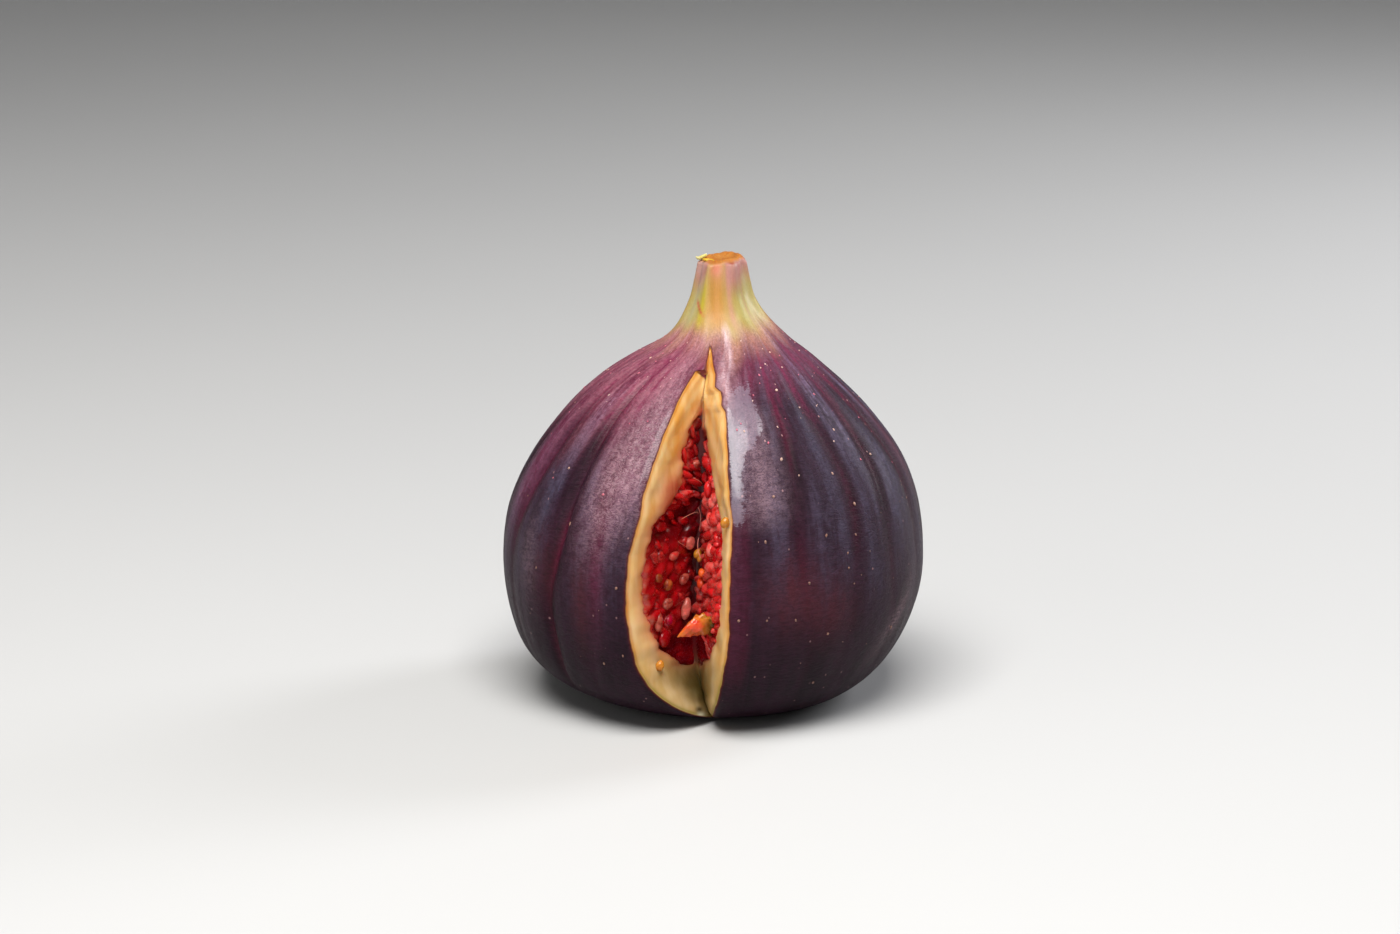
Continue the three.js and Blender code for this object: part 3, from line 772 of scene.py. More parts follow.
def flesh_looks(depth, pulp_gap, reach, points, side, share):
    """Two colours and the surface values of the pale cut faces."""
    x, z = points[..., 0], points[..., 2]
    seen = 0.97 * (z - 27) + 0.242 * points[..., 1]  # height above the middle of the photograph
    low = 1 - smooth(z, 6, 15)
    shady = low * (0.45 + 0.55 * smooth(share, 0.1, 0.55))
    paint = Paint(mix(CREAM, KHAKI, shady), mix(PALE, (0.28, 0.19, 0.08), shady))
    blotch = 0.5 + 0.5 * np.sin(z * 0.75 + 0.9 * depth + side) * np.sin(depth * 1.5 - 0.4 * z)
    blotch = limit(blotch) * (1 - low)
    paint.lay((0.7, 0.34, 0.06), 0.75 * blotch, (0.82, 0.52, 0.18), 0.6 * blotch)
    # A golden line runs along the rim, yellow-green low down
    rim = bell(depth, 0.4, 0.32)
    gold = mix((0.55, 0.19, 0.015), (0.26, 0.2, 0.025), low)
    paint.lay(gold, 0.9 * rim, gold, 0.7 * rim)
    # Golden bands run down the left face beside the pulp and at the top
    if side < 0:
        band = bell(pulp_gap, 2.6, 1.3) * between(z, 25, 31, 39, 42)
        paint.lay(AMBER, 0.65 * band, (0.8, 0.45, 0.14), 0.5 * band)
    top = smooth(z, 44.5, 46)
    paint.lay((0.55, 0.2, 0.02), 0.8 * top, AMBER, 0.7 * top)
    streak = 0.5 + 0.5 * np.sin(depth * 3.1 + 0.8 * np.sin(z * 0.5) + side)
    golden = smooth(z, 36, 40) * (1 - top) * (1 - streak)
    paint.lay(AMBER, 0.5 * golden, (0.82, 0.5, 0.17), 0.5 * golden)
    # Juice stains the flesh next to the pulp
    near = 1 - smooth(pulp_gap, 0.0, (3.6 if side < 0 else 2.2) - 0.8 * low)
    juice = mix((0.74, 0.27, 0.13), (0.3, 0.12, 0.05), low)
    paint.lay(juice, 0.8 * near**1.5, juice, 0.6 * near)
    close = 1 - smooth(pulp_gap, -0.1, 0.7)
    stain = mix(SALMON, (0.22, 0.03, 0.015), low)
    paint.lay(stain, 0.8 * close, stain, 0.6 * close)
    inside = 1 - smooth(pulp_gap, -0.5, 0.15)
    # Painted shade: the red darkens deep in the cut
    red = mix(CRIMSON, SHADE_CRIMSON, 0.9 * smooth(share, 0.7, 0.85))
    paint.lay(red, inside, red, inside)
    # Translucent dark olive in the lowest part of the groove, darkest deep in the cut, partly the flesh's own
    # colour and partly painted shade, and a brown crack down the right face
    olive_and_shade = (1 - smooth(z, 4, 10)) * smooth(share, 0.3, 0.85)
    paint.lay(OLIVE, 0.9 * olive_and_shade, (0.11, 0.075, 0.016), 0.85 * olive_and_shade)
    if side > 0:
        crack = bell(share, 0.62 + 0.03 * np.sin(z * 2.2), 0.035) * between(z, 3.5, 4.5, 8, 9)
        paint.lay((0.16, 0.06, 0.01), 0.9 * crack, (0.2, 0.08, 0.02), 0.8 * crack)
    # A notch painted as dark shade, and a pale bit of skin, at the lowest end of the cut
    notch = bell(np.hypot((x + 1.8) * 0.8, seen + 28.15), 0, 0.42)
    bit = bell(np.hypot((x + 1.55) * 0.6, seen + 28.85), 0, 0.3)
    paint.lay((0.03, 0.02, 0.006), notch, (0.05, 0.03, 0.01), notch)
    paint.lay((0.5, 0.5, 0.32), bit, (0.66, 0.66, 0.5), bit)
    # The fuzzy mound is wet and reddish
    mound = limit(1.5 * mound_shape(side, z, reach))
    paint.lay((0.36, 0.06, 0.02), mound, (0.56, 0.2, 0.1), mound)
    clear = 1.0
    if side < 0:
        # The V-shaped notch at the top of the left face shows skin
        valley = seen - 15.5 + 1.0 * (x + 2.35)
        within = between(x, -2.7, -2.3, -0.95, -0.75) * (z > 43)
        notch = smooth(valley, -0.04, 0.04) * within
        paint.lay((0.16, 0.02, 0.045), notch, (0.3, 0.07, 0.11), notch)
        line = bell(valley, 0, 0.08) * within
        paint.lay(BARK, line, BARK, line)
        clear = 1 - notch
    skin_line = 1 - smooth(depth, 0.06, 0.2)
    paint.lay(BARK, skin_line, MAROON, skin_line)
    return {
        "tint": paint.tint,
        "alt": paint.alt,
        "rough": 0.34 + 0 * z,
        "wet": 0.5 + 0.5 * mound,
        "gloss": 0 * z,
        "soft": 0.35 * smooth(depth, 0.1, 0.5) * clear,
        "speck": 0 * z,
        "wrinkle": 0.24 + 0.5 * mound,
        "pores": 0 * z,
        "flesh": smooth(depth, 0.0, 0.3),
    }


# The larger pale pores of the skin in front: angle, height
LENTICELS = (
    (23, 44.9), (30.8, 43.2), (49.2, 38.2), (46.2, 37), (39.2, 33.7), (54, 34.4), (61, 34.5),
    (18.8, 37.9), (22.2, 36), (17, 32), (27, 34), (32, 26.8), (42.2, 26.2), (38.5, 24.2), (38.5, 22.3),
    (13.8, 26.8), (26, 21.2), (6.5, 17.1), (14, 16.9), (22, 16.6), (32.2, 14.1), (-54.5, 33.3),
    (-45.2, 27.2), (-36.2, 31.4), (-55, 20.8), (-26.5, 20.5), (-56.5, 44.3), (-65.8, 45.7), (-31.5, 9.9),
    (-25, 11.5), (32.2, 7), (59.5, 12.2), (44, 29.8), (-59.8, 31.7), (73.8, 27.8),
)
PLAIN_LOOKS = {
    "rough": 0.45, "wet": 0.1, "gloss": 0, "soft": 0.2, "speck": 0, "wrinkle": 0.1, "pores": 0, "flesh": 1,
}


def add_lenticels(b):
    """Small raised pores: the larger ones at their places, and finer ones at random."""
    s = np.linspace(1, 17, 400)
    outline = spline(OUTLINE, s)
    spots = [(theta, z, RANDOM.uniform(0.13, 0.22)) for theta, z in LENTICELS]
    for low, high, number, small, large in ((38, 48.5, 110, 0.05, 0.14), (10, 38, 60, 0.04, 0.1)):
        for _ in range(number):
            theta, z = RANDOM.uniform(7, 333), RANDOM.uniform(low, high)
            spots.append((theta, z, RANDOM.uniform(small, large)))
    for theta, z, size in spots:
        r = np.interp(z, outline[:, 1], outline[:, 0])
        place = skin(theta, r, z)
        step = 0.3
        above = skin(theta, np.interp(z + step, outline[:, 1], outline[:, 0]), z + step)
        up = unit(above - place)
        round_ = unit(skin(theta + 1, r, z) - place)
        out = unit(np.cross(round_, up))
        pale = mix((0.26, 0.13, 0.1), (0.75, 0.45, 0.36), smooth(z, 26, 44))
        pale = mix(pale, (0.62, 0.1, 0.18), 0.85 * (RANDOM.uniform() < 0.5) * smooth(z, 28, 33))
        half = (size * RANDOM.uniform(1, 1.7), size, 0.35 * size)
        ahead = up + round_ * RANDOM.uniform(-0.6, 0.6)
        pebble(
            b, place + out * 0.1 * size, ahead, out, half,
            level=1, tint=pale, alt=pale * 1.15, grow=place, **PLAIN_LOOKS,
        )


def add_flake(b):
    """The ragged, pale bit of skin that the knife left on the rim of the stalk."""
    for centre, ahead, half, tint in (
        ((-1.5, -0.1, 58.12), (1, 0.2, 0.45), (0.62, 0.36, 0.24), (0.62, 0.52, 0.16)),
        ((-1.95, -0.2, 58.02), (1, 0.4, -0.6), (0.4, 0.24, 0.16), (0.66, 0.58, 0.26)),
        ((-1.15, 0.1, 58.28), (0.5, 0.3, 0.5), (0.3, 0.24, 0.16), (0.7, 0.62, 0.36)),
        ((-0.75, -1.2, 57.95), (1, 0, -0.1), (0.75, 0.36, 0.2), (0.62, 0.36, 0.03)),
    ):
        pebble(
            b, centre, ahead, (0, 0, 1), half,
            lump=0.15, seed=5, tint=tint, alt=tint, grow=centre, **PLAIN_LOOKS,
        )


def build_rind():
    r, z, s = outline_rows()
    left, right, open_share = lips(s)
    share = np.linspace(0, 1, SKIN_COLUMNS + 1)
    share = share - 0.09 * np.sin(2 * math.pi * share)  # closer together in front
    even = RIGHT_EDGE + (360 + LEFT_EDGE - RIGHT_EDGE) * share
    at_right = (right[:, None] - RIGHT_EDGE) * (1 - smooth(share, 0, 0.2))
    theta = even[None] + at_right + (left[:, None] - LEFT_EDGE) * smooth(share, 0.8, 1)
    rr, zz = np.broadcast_to(r[:, None], theta.shape), np.broadcast_to(z[:, None], theta.shape)
    ragged = 0.26 * np.cos(np.radians(theta - 120)) + 0.06 * sine(5 * theta)
    ragged = ragged + 0.03 * sine(13 * theta)
    tilt = smooth(zz, 57.4, 58.3) * (ragged * np.minimum(rr / 2.3, 1) - 0.3)
    outer = skin(theta, rr, zz)
    base = (s == 0) & (z < 2)
    outer[base, :, 0] += (lean(0) - lean(z[base]))[:, None]
    lip_gap = np.minimum(theta - right[:, None], left[:, None] + 360 - theta) * math.pi / 180 * rr
    lip_gap = np.where(open_share[:, None] > 0.02, lip_gap, 9)
    outer[..., 2] += tilt
    # The skin turns in a little at the lips
    curl = LIP_CURL * bell(lip_gap, 0, 0.5) * open_share[:, None]
    axis = np.stack([lean(zz), 0 * zz, zz], -1)
    outer -= unit(outer - axis) * curl[..., None]
    over = np.zeros(len(r))
    over[-5:] = 1
    looks = skin_looks(theta, rr, zz, lip_gap, np.broadcast_to(over[:, None], theta.shape))
    a = np.radians(theta)
    grow_arc = np.concatenate([[0], np.cumsum(np.hypot(np.diff(r), np.diff(z)))])[:, None] + 0 * theta
    looks["grow"] = np.stack([MEAN_RADIUS * np.sin(a), -MEAN_RADIUS * np.cos(a), grow_arc], -1)

    across = (np.arange(1, WALL_STEPS + 1) / WALL_STEPS) ** 1.5
    walls = {}
    for side in SIDES:
        ss, vv = np.meshgrid(s, across, indexing="ij")
        points = wall(side, ss, vv)
        out, _, _ = wall_frame(side, np.clip(ss, 0.45, 12.1), vv)
        lip = wall(side, s, np.zeros_like(s))
        depth = np.linalg.norm(points - lip[:, None], axis=-1)
        gap = pulp_distance(points, side)
        swell = 0.3 * smooth(depth, 0, 1.6) * smooth(gap, 0, 1.5)
        z_here = points[..., 2]
        ripple = 0.09 * np.sin(z_here * 1.3 + side) * np.sin(depth * 1.1 + z_here * 0.3)
        sunk = -WALL_SUNK * (1 - smooth(gap, -1.0, 0.25))
        closing = open_share[:, None] * (1 - smooth(vv, 0.86, 1))
        reach = np.linalg.norm(wall(side, s, np.ones_like(s))[:, None] - points, axis=-1)
        rise = 0.75 * mound_shape(side, z_here, reach) * smooth(gap, -0.6, 0.3)
        points = points + out * ((swell + ripple * smooth(depth, 0.3, 2) + sunk + rise) * closing)[..., None]
        # The valley above the pulp fills up
        fill = 0.75 * bell(reach, 0, 0.8) * smooth(points[..., 2], 40, 42) * smooth(gap, 0.2, 1)
        points = points + (fill * open_share[:, None])[..., None] * np.array([-0.22, -0.97, 0.1])
        rim_curl = LIP_CURL * bell(depth, 0, 0.5) * open_share[:, None]
        middle = np.stack([lean(points[..., 2]), 0 * depth, points[..., 2]], -1)
        points = points - unit(points - middle) * rim_curl[..., None]
        values = flesh_looks(depth, gap, reach, points, side, vv)
        values["grow"] = points
        shut = open_share < 0.02
        values.update({k: np.array(v) for k, v in values.items()})
        for key in looks:
            values[key][shut] = looks[key][shut, :1]
        points[shut] = outer[shut, :1]
        walls[side] = (points, values)

    (left_points, left_values), (right_points, right_values) = walls[-1], walls[1]
    loop = np.concatenate([outer, joined(left_points, right_points)], 1)
    values = {k: np.concatenate([looks[k], joined(left_values[k], right_values[k])], 1) for k in looks}
    rows, width = loop.shape[:2]
    flat = {k: v.reshape(-1, 3) if v.ndim == 3 else v.ravel() for k, v in values.items()}
    builder = Builder()
    builder.add(loop, grid_faces(rows, width, wrap=True), **flat)
    add_lenticels(builder)
    add_flake(builder)
    return builder.build("fig_rind", RIND, weld=0.004)


rind = build_rind()


# Pulp
WALL_S = np.linspace(0.7, 12, WALL_POINTS)
WALL_LIP = {side: wall(side, WALL_S, 0 * WALL_S) for side in SIDES}
WALL_END = {side: wall(side, WALL_S, 0 * WALL_S + 1) for side in SIDES}


def on_walls(side, z, from_bottom, stand=0):
    """Points at heights and distances from the bottom of the cut, and the wall's directions there."""
    z, from_bottom = np.atleast_1d(z).astype(float), np.atleast_1d(from_bottom).astype(float)
    span = WALL_END[side] - WALL_LIP[side]
    length = np.linalg.norm(span, axis=-1)
    at, share = np.zeros_like(z), np.zeros_like(z)
    for i in range(len(z)):
        shares = limit(1 - from_bottom[i] / np.maximum(length, 0.1))
        heights = WALL_LIP[side][:, 2] + span[:, 2] * shares
        at[i] = np.interp(z[i], heights, WALL_S)
        share[i] = np.interp(at[i], WALL_S, shares)
    out, inwards, up = wall_frame(side, at, share)
    return wall(side, at, share) + out * np.reshape(stand, (-1, 1)), out, inwards, up


def on_wall(side, z, from_bottom, stand):
    """One place on a wall, and the wall's directions there."""
    return (rows[0] for rows in on_walls(side, z, from_bottom, stand))


def bed_domes(side, z, reach):
    """Low, soft domes of the bed, on a wall's heights and distances from the bottom of the cut."""
    draw = np.random.default_rng(40 + side)
    height = np.zeros(z.shape)
    for row in np.arange(6, 40, 1.6):
        for along in np.arange(0.3, 13.5, 2.3):
            centre = (row + draw.uniform(-0.6, 0.6), along + draw.uniform(-0.9, 0.9))
            half = (draw.uniform(0.6, 1.3), draw.uniform(1.0, 2.1))
            turn = draw.uniform(-0.9, 0.1) if side < 0 else draw.uniform(-0.5, 0.5)
            dz, dr = z - centre[0], reach - centre[1]
            a = (dr * math.cos(turn) + dz * math.sin(turn)) / half[1]
            c = (dz * math.cos(turn) - dr * math.sin(turn)) / half[0]
            low = 0.2 + 0.8 * float(smooth(row, 9, 14))
            dome = np.sqrt(np.maximum(0, 1 - a * a - c * c)) * draw.uniform(0.3, 0.75) * low
            height = np.maximum(height, dome)
    return height


def bed_colours(side, z, reach, gap):
    """The gel is darkest deep in the cut, under the flap and in the hollow on the left wall, as painted
    shade, and red to pink towards the flesh.
    """
    spread = 0.5 + 0.5 * np.sin(z * 1.7 + reach * 0.9 + side) * np.sin(reach * 1.3 - z * 0.6)
    tint = mix(CRIMSON, SCARLET, 0.6 * spread + (0.4 if side > 0 else -0.15))
    deep = (1 - smooth(reach, 0.4, 3.5)) * 0.9 + 1.1 * bell(z, 9.6, 3.2) * (1 - smooth(reach, 7, 11))
    deep = deep + 0.85 * (side < 0) * bell(z, 26.4, 2.4)
    deep = deep + (1 - smooth(reach, 1.5, 4)) * (1 - smooth(z, 12, 15))
    tint = mix(tint, SHADE_CRIMSON, np.clip(deep, 0, 0.93))
    alt = mix(tint, SCARLET, 0.35 * spread)
    pale = smooth(gap, -1.3, -0.1) * smooth(z, 9, 14)
    return mix(tint, SALMON, 0.6 * pale), mix(alt, BLUSH, 0.7 * pale)


def pulp_bed(b):
    """The wet gel that the drupelets stand in, as a closed slab along both walls."""
    s = np.linspace(3.1, 10.5, BED_ROWS)
    across = np.linspace(0.1, 1, BED_COLUMNS)
    tops, unders, tints, alts = [], [], [], []
    for side in SIDES:
        ss, vv = np.meshgrid(s, across, indexing="ij")
        flat = wall(side, ss, vv)
        reach = np.linalg.norm(flat - wall(side, ss, 0 * vv + 1), axis=-1)
        gap = pulp_distance(flat, side)
        out, _, _ = wall_frame(side, ss, vv)
        soft = smooth(-gap, 0.1, 1.2)
        z = flat[..., 2]
        cavity = (side < 0) * bell(z, 26.4, 1.9) * smooth(reach, 0.8, 3) * smooth(-gap, 0.3, 1.6)
        cavity = cavity + 0.9 * bell(z, 9.3, 2.2)
        height = GEL_LEVEL + (bed_domes(side, z, reach) - 1.1 * cavity) * soft - 1.3 * smooth(gap, -0.4, 0.4)
        height = height * (1 - smooth(vv, 0.5, 1) * (1 - smooth(z, 13, 16)))
        tops.append(flat + out * (height - 0.1)[..., None])
        unders.append(flat - out * GEL_DEPTH)
        tint, alt = bed_colours(side, z, reach, gap)
        tints.append(tint)
        alts.append(alt)
    top, under = joined(*tops), joined(*unders)
    tint, alt = joined(*tints).reshape(-1, 3), joined(*alts).reshape(-1, 3)
    rows, width = top.shape[:2]
    faces = grid_faces(rows, width)
    n = rows * width
    faces += [[i + n for i in face[::-1]] for face in faces]
    rim = list(range(width)) + [i * width + width - 1 for i in range(1, rows)]
    rim += [(rows - 1) * width + j for j in range(width - 2, -1, -1)]
    rim += [i * width for i in range(rows - 2, 0, -1)]
    faces += [[rim[i], rim[i - 1], rim[i - 1] + n, rim[i] + n] for i in range(len(rim))]
    points = np.concatenate([top.reshape(-1, 3), under.reshape(-1, 3)])
    b.add(points, faces, tint=np.concatenate([tint, tint]), alt=np.concatenate([alt, alt]), soft=0.5)


# Where the drupelets stand: wall, lowest and highest place, nearest and farthest from the bottom of the cut,
# step up, step along, half sizes, slope, how far they stand out, and their colours deep down and at the tip
ZONES = (
    (-1, 29.2, 33.4, 0.2, 6.6, 0.95, 1.9, (1.35, 0.36, 0.45), -0.35, 0.1, SCARLET, ROSE),
    (-1, 33.4, 40, 0.3, 6.0, 1.7, 0.95, (1.2, 0.38, 0.36), -1.6, -0.1, SCARLET, SALMON),
    (-1, 23.4, 29.2, 0.3, 9.6, 2.3, 2.8, (1.0, 0.5, 0.4), -0.6, -0.5, CRIMSON, SCARLET),
    (-1, 12.0, 23.4, 0.3, 9.8, 2.1, 2.6, (1.15, 0.8, 0.55), -0.8, -0.2, CRIMSON, SALMON),
    (1, 12.2, 25.5, 0.3, 12.4, 1.15, 1.8, (1.3, 0.52, 0.55), -0.55, 0.1, SCARLET, ROSE),
    (1, 25.5, 33.5, 0.3, 9.0, 1.5, 1.8, (1.1, 0.75, 0.6), -0.2, 0.1, SCARLET, ROSE),
    (1, 33.5, 39, 0.3, 6.0, 1.8, 0.85, (1.25, 0.42, 0.42), 1.5, 0.0, SCARLET, ROSE),
    (1, 7.4, 12.2, 4.4, 10.5, 0.62, 2.3, (1.3, 0.24, 0.3), 0.5, 0.1, CRIMSON, ROSE),
)


def add_drupelets(b):
    """The fleshy grains of the pulp in loose rows, pointing out of the gel."""
    for side, low, high, near, far, rise, pitch, half, slope, stand, tone, tip in ZONES:
        heights, reaches = [], []
        for i, z in enumerate(np.arange(low, high, rise)):
            for reach in np.arange(near + (i % 2) * pitch / 2, far, pitch):
                heights.append(z + RANDOM.uniform(-0.35, 0.35) * rise)
                reaches.append(max(0.1, reach + RANDOM.uniform(-0.4, 0.4) * pitch))
        points, outs, inwards, ups = on_walls(side, heights, reaches)
        gaps = pulp_distance(points, side)
        for reach, point, out, into, up, gap in zip(reaches, points, outs, inwards, ups, gaps):
            light, size, lean_by = RANDOM.uniform(0, 1), RANDOM.uniform(0.65, 1.4), RANDOM.normal(0, 0.2)
            push, rise_by = RANDOM.normal(0.12, 0.14), RANDOM.uniform(-0.3, 0.2)
            bend, taper, seed = RANDOM.uniform(-0.4, 0.3), RANDOM.uniform(0, 0.45), int(RANDOM.integers(1e6))
            if gap > -0.45:
                continue
            # Painted shade: grains darken near the bottom of the cut, most on the left wall
            dark = 0.75 * (1 - smooth(reach, 0.3, 3.5)) * (1 if side < 0 else 0.45)
            pale = 0.5 * smooth(gap, -2, -0.4)
            first = mix(mix(tone, SHADE_CRIMSON, dark), SALMON, 0.6 * light * (side > 0) + 0.4 * pale)
            # The tip colour, picked more often on the right wall, is partly the grains' own pink and partly
            # painted highlight
            bright = light ** (1.2 if side > 0 else 2)
            last = mix(mix(SCARLET, tip, bright), CRIMSON, 0.8 * dark)
            ahead = into + up * (slope + lean_by) + out * push
            pebble(
                b, point + out * (stand + rise_by - 0.4), ahead, out, np.array(half) * size,
                bend=bend, taper=taper, lump=0.11, seed=seed, tint=first, alt=last, soft=0.5,
            )


def add_seeds(b):
    """Seeds in the pulp: wall, height, distance from the bottom, how far out, half sizes, turn and colour."""
    seeds = [
        (-1, 33.3, 1.4, 0.1, (0.75, 0.6, 0.5), 0.3, SHELL, BROWN),
        (-1, 23.1, 1.9, 0.2, (0.9, 0.85, 0.5), 0.8, SHELL, ROSE),
        (-1, 18.6, 2.8, 0.1, (1.0, 0.65, 0.5), 0.3, SHELL, BROWN),
        (-1, 18.6, 6.4, 0.0, (0.85, 0.75, 0.45), -0.3, (0.4, 0.1, 0.02), BROWN),
        (-1, 20.0, 8.6, -0.1, (0.8, 0.6, 0.4), -0.5, (0.3, 0.06, 0.01), BROWN),
        (-1, 16.2, 6.4, 0.0, (1.05, 0.72, 0.5), 0.1, SHELL, BROWN),
        (-1, 14.6, 2.2, 0.2, (1.5, 0.75, 0.6), 1.15, SHELL, ROSE),
        (-1, 14.3, 8.6, 0.0, (1.2, 0.62, 0.5), 1.3, SHELL, BROWN),
        (-1, 14.0, 6.0, 0.0, (0.7, 0.6, 0.4), 0.9, (0.5, 0.005, 0.06), CRIMSON),
        (-1, 11.9, 7.0, -0.1, (1.25, 1.1, 0.6), 0.4, CRIMSON, CRIMSON),
        (-1, 22.2, 5.4, 0.0, (1.0, 0.55, 0.45), 0.2, SHELL, SCARLET),
        (1, 27.2, 5.0, 0.2, (0.85, 0.7, 0.5), 0.5, ROSE, SALMON),
        (1, 23.4, 6.4, 0.2, (0.9, 0.75, 0.5), 1.0, ROSE, SALMON),
    ]
    for side, z, reach, stand, half, turn, tint, alt in seeds:
        point, out, inwards, up = on_wall(side, z, reach, stand)
        x = inwards * math.cos(turn) + up * math.sin(turn)
        pebble(b, point - out * 0.08, x, out, half, level=3, taper=0.1, tint=tint, alt=alt, soft=0.35)
    # Golden crumbs: wall, height, distance from the bottom, how far out, size and colour
    for side, z, reach, stand, size, tint in (
        (-1, 21.6, 0.9, 0.7, 1, (0.55, 0.22, 0.02)), (1, 21.0, 1.7, 0.3, 0.6, (0.5, 0.18, 0.02)),
        (1, 19.6, 3.3, 0.3, 0.9, (0.66, 0.1, 0.015)), (1, 18.1, 2.8, 0.2, 1.1, (0.6, 0.05, 0.012)),
    ):
        point, out, inwards, up = on_wall(side, z, reach, stand)
        half = np.array((0.72, 0.56, 0.5)) * size
        alt = np.array(tint) * 1.3
        pebble(b, point, up + inwards, out, half, level=3, taper=0.12, tint=tint, alt=alt, soft=0.2)


def add_threads(b):
    """Thin, pale threads between the walls. Each of a thread's three points has its wall, height, distance
    from the bottom of the cut and how far it stands out."""
    for path in (
        ((-1, 27.0, 5.2, 0.4), (-1, 27.4, 2.6, 0.8), (1, 26.6, 0.6, 0.6)),
        ((-1, 27.8, 1.4, 0.5), (-1, 26.4, 1.0, 0.8), (1, 24.6, 1.4, 0.5)),
        ((-1, 24.2, 5.4, 0.4), (-1, 23.5, 4.4, 0.6), (-1, 22.9, 3.0, 0.5)),
        ((1, 23.8, 1.6, 0.5), (1, 22.6, 2.2, 0.7), (1, 21.4, 3.0, 0.4)),
        ((-1, 31.8, 2.6, 0.3), (-1, 31.2, 1.4, 0.5), (1, 30.6, 0.6, 0.3)),
    ):
        ends = np.array([next(on_wall(*place)) for place in path])
        t = np.linspace(0, 1, 15)[:, None]
        pull = 2 * ends[1] - (ends[0] + ends[2]) / 2
        curve = ends[0] * (1 - t) ** 2 + pull * 2 * t * (1 - t) + ends[2] * t**2
        strand(b, curve, RANDOM.uniform(0.03, 0.05), tint=ROSE, alt=BLUSH, soft=0.4)


def add_flap(b):
    """The torn flap that hangs out from the right wall: dark at its root, then gold, red and a gold tip."""
    root, out, _, _ = on_wall(1, 13.9, 8.0, 0.0)
    u = np.linspace(0, 1, FLAP_STATIONS)
    tall = np.interp(u, [0, 0.12, 0.4, 0.65, 0.85, 1], [0.75, 1.2, 1.35, 1.0, 0.5, 0.06])
    thick = np.interp(u, [0, 0.3, 0.8, 1], [0.6, 0.75, 0.4, 0.05])
    drop = 0.45 * np.sin(math.pi * u) - 1.1 * u**2
    around = np.linspace(0, 2 * math.pi, FLAP_SIDES, endpoint=False)
    uu, aa = np.meshgrid(u, around, indexing="ij")
    lump = 1 + 0.13 * np.sin(3 * aa + 9 * uu) + 0.1 * np.sin(5 * aa - 21 * uu)
    lump = lump + 0.07 * np.sin(2 * aa + 37 * uu)
    above = np.array([0, 0, 1.0])
    spine = root + out * (FLAP_LENGTH * u - 0.4)[:, None] + above * drop[:, None]
    front = unit(np.cross(out, above))
    upwards = (tall[:, None] * np.sin(aa) * lump)[..., None] * above
    sideways = (thick[:, None] * np.cos(aa) * lump)[..., None] * front
    points = spine[:, None] + (upwards + sideways)
    tint = mix((0.05, 0.025, 0.004), (0.36, 0.13, 0.01), smooth(uu, 0.1, 0.35))
    tint = mix(tint, (0.6, 0.02, 0.015), smooth(uu, 0.3, 0.5) * (0.6 + 0.4 * np.sin(2 * aa + 5 * uu)))
    tint = mix(tint, (0.6, 0.17, 0.01), smooth(uu, 0.72, 0.95))
    alt = mix((0.16, 0.08, 0.01), (0.7, 0.08, 0.03), smooth(uu, 0.1, 0.5))
    alt = mix(alt, (0.6, 0.24, 0.02), 0.8 * smooth(np.sin(aa), 0.3, 0.9) * (1 - smooth(uu, 0.6, 0.8)))
    tint, alt = tint.reshape(-1, 3), alt.reshape(-1, 3)
    b.add(points, tube_faces(FLAP_STATIONS, FLAP_SIDES), tint=tint, alt=alt, soft=0.4)


pulp_builder = Builder()
pulp_bed(pulp_builder)
add_drupelets(pulp_builder)
add_flap(pulp_builder)
add_seeds(pulp_builder)
add_threads(pulp_builder)
pulp = pulp_builder.build("fig_pulp", JUICY)

# Loose seeds
strays = []
for node in ("stray_seed_1", "stray_seed_2"):
    low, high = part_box(node)
    middle = np.array((low + high) / 2) / MM
    b = Builder()
    pebble(
        b, middle, (0.3, 0.2, 1), (0, -1, 0), (0.74, 0.57, 0.56),
        level=3, taper=0.12, tint=(0.42, 0.15, 0.015), alt=(0.6, 0.26, 0.03), soft=0.2,
    )
    strays.append(b.build("fig_" + node, JUICY))

for piece, node, slot in (
    (rind, "rind", "skin"), (pulp, "pulp", "pulp"),
    (strays[0], "stray_seed_1", "seed"), (strays[1], "stray_seed_2", "seed"),
):
    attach(piece, "root")
    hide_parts(node)


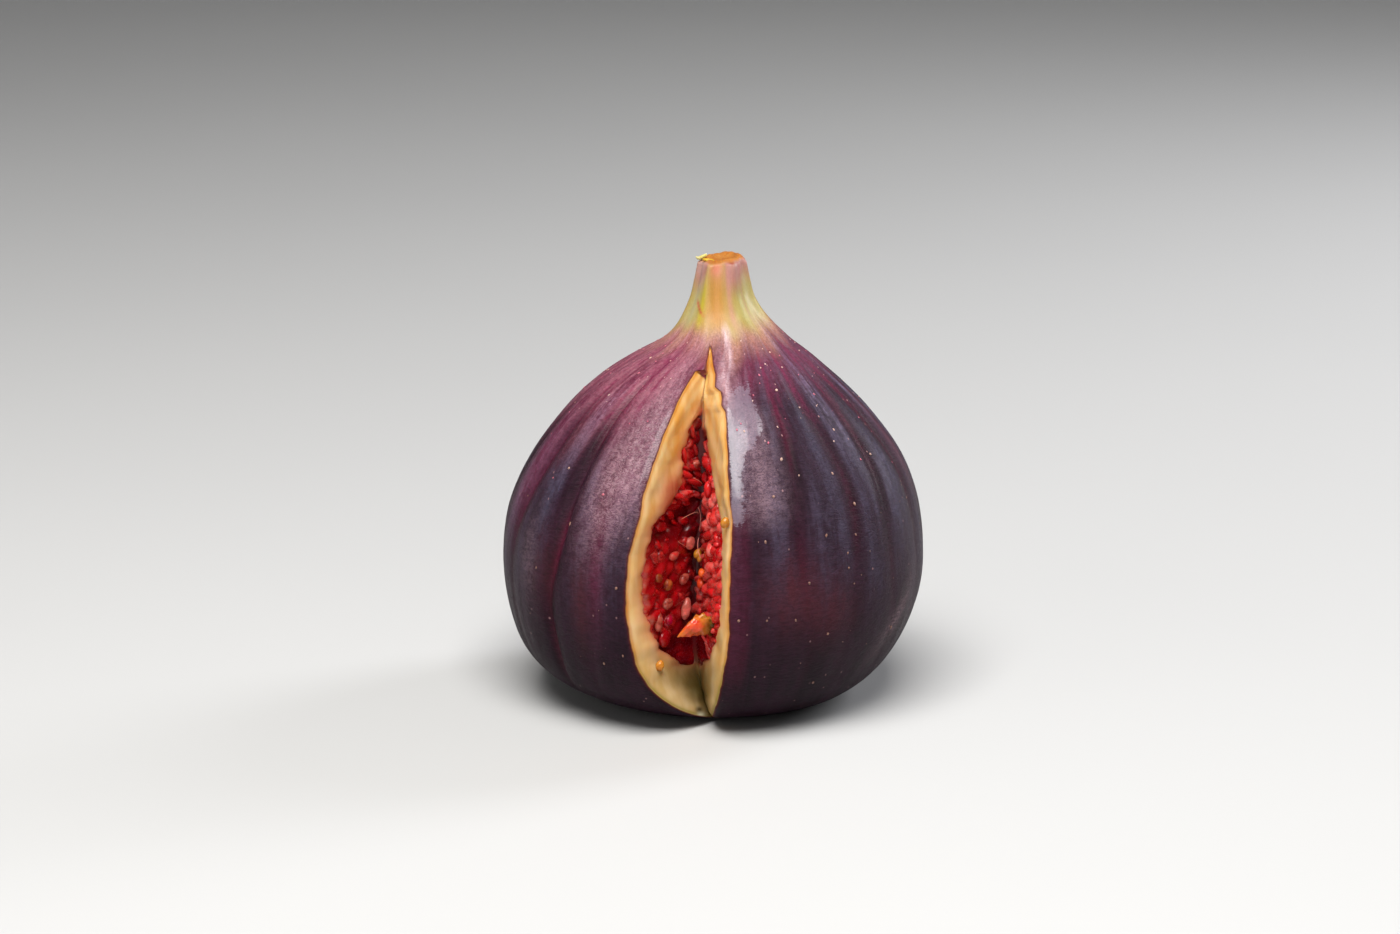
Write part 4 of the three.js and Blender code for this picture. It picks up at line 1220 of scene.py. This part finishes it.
# Floor, light and camera
def stage():
    """A pale floor in metres that curves up into a wall far behind the fruit."""
    g = Graph("floor")
    place = g.place()
    cloud = g.noise(place, 3, 3, 0.5)
    g.set(Base_Color=g.blend(cloud, (0.52, 0.52, 0.52, 1), (0.57, 0.57, 0.565, 1)), Roughness=0.75)
    front, back, curve, top, half = 1.5, 0.9, 0.5, 2.2, 2.5
    profile = [(-front, 0.0), (back, 0.0)]
    angles = np.linspace(0.12, math.pi / 2, 14)
    profile += [(back + curve * math.sin(a), curve - curve * math.cos(a)) for a in angles]
    profile += [(back + curve, top)]
    verts = [(x, y, z) for y, z in profile for x in (-half, half)]
    faces = [[2 * i, 2 * i + 1, 2 * i + 3, 2 * i + 2] for i in range(len(profile) - 1)]
    mesh = bpy.data.meshes.new("floor")
    mesh.from_pydata(verts, [], faces)
    for polygon in mesh.polygons:
        polygon.use_smooth = True
    mesh.materials.append(g.material)
    add_object("floor", mesh)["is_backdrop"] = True


def area_light(name, place, size, power, colour):
    """A soft light that faces the middle of the fruit. The power is in watts."""
    light = bpy.data.lights.new(name, "AREA")
    light.shape, light.size, light.size_y = "RECTANGLE", size[0], size[1]
    light.energy, light.color = power, colour
    lamp = add_object(name, light)
    lamp.location = place
    lamp.rotation_euler = (Vector((0, 0, 0.03)) - Vector(place)).to_track_quat("-Z", "Y").to_euler()


stage()
area_light("key", (-0.04, -0.27, 0.55), (0.44, 0.33), 6.0, (1, 0.985, 0.96))
area_light("rim", (0.5, 0.3, 0.3), (0.2, 0.4), 2.5, (0.95, 0.96, 1))
area_light("fill", (-0.6, -0.5, 0.25), (0.5, 0.5), 0.6, (1, 0.98, 0.96))
world = bpy.data.worlds.new("studio")
world.use_nodes = True
background = world.node_tree.nodes["Background"]
background.inputs["Color"].default_value = (0.97, 0.98, 1, 1)
background.inputs["Strength"].default_value = 0.11
bpy.context.scene.world = world

camera_data = bpy.data.cameras.new("camera")
camera_data.lens, camera_data.sensor_width = LENS, SENSOR
camera_data.clip_start, camera_data.clip_end = 0.01, 20
camera = add_object("camera", camera_data)
tilt = math.radians(CAMERA_TILT)
up = Vector((0, math.sin(tilt), math.cos(tilt)))
target = Vector((-FRAME_LEFT, 0, CENTRE_HEIGHT)) + up * FRAME_UP
camera.location = target + Vector((0, -math.cos(tilt), math.sin(tilt))) * DISTANCE
camera.rotation_euler = (math.pi / 2 - tilt, 0, 0)
bpy.context.scene.camera = camera
bpy.context.scene.view_settings.view_transform = "Standard"

low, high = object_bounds()
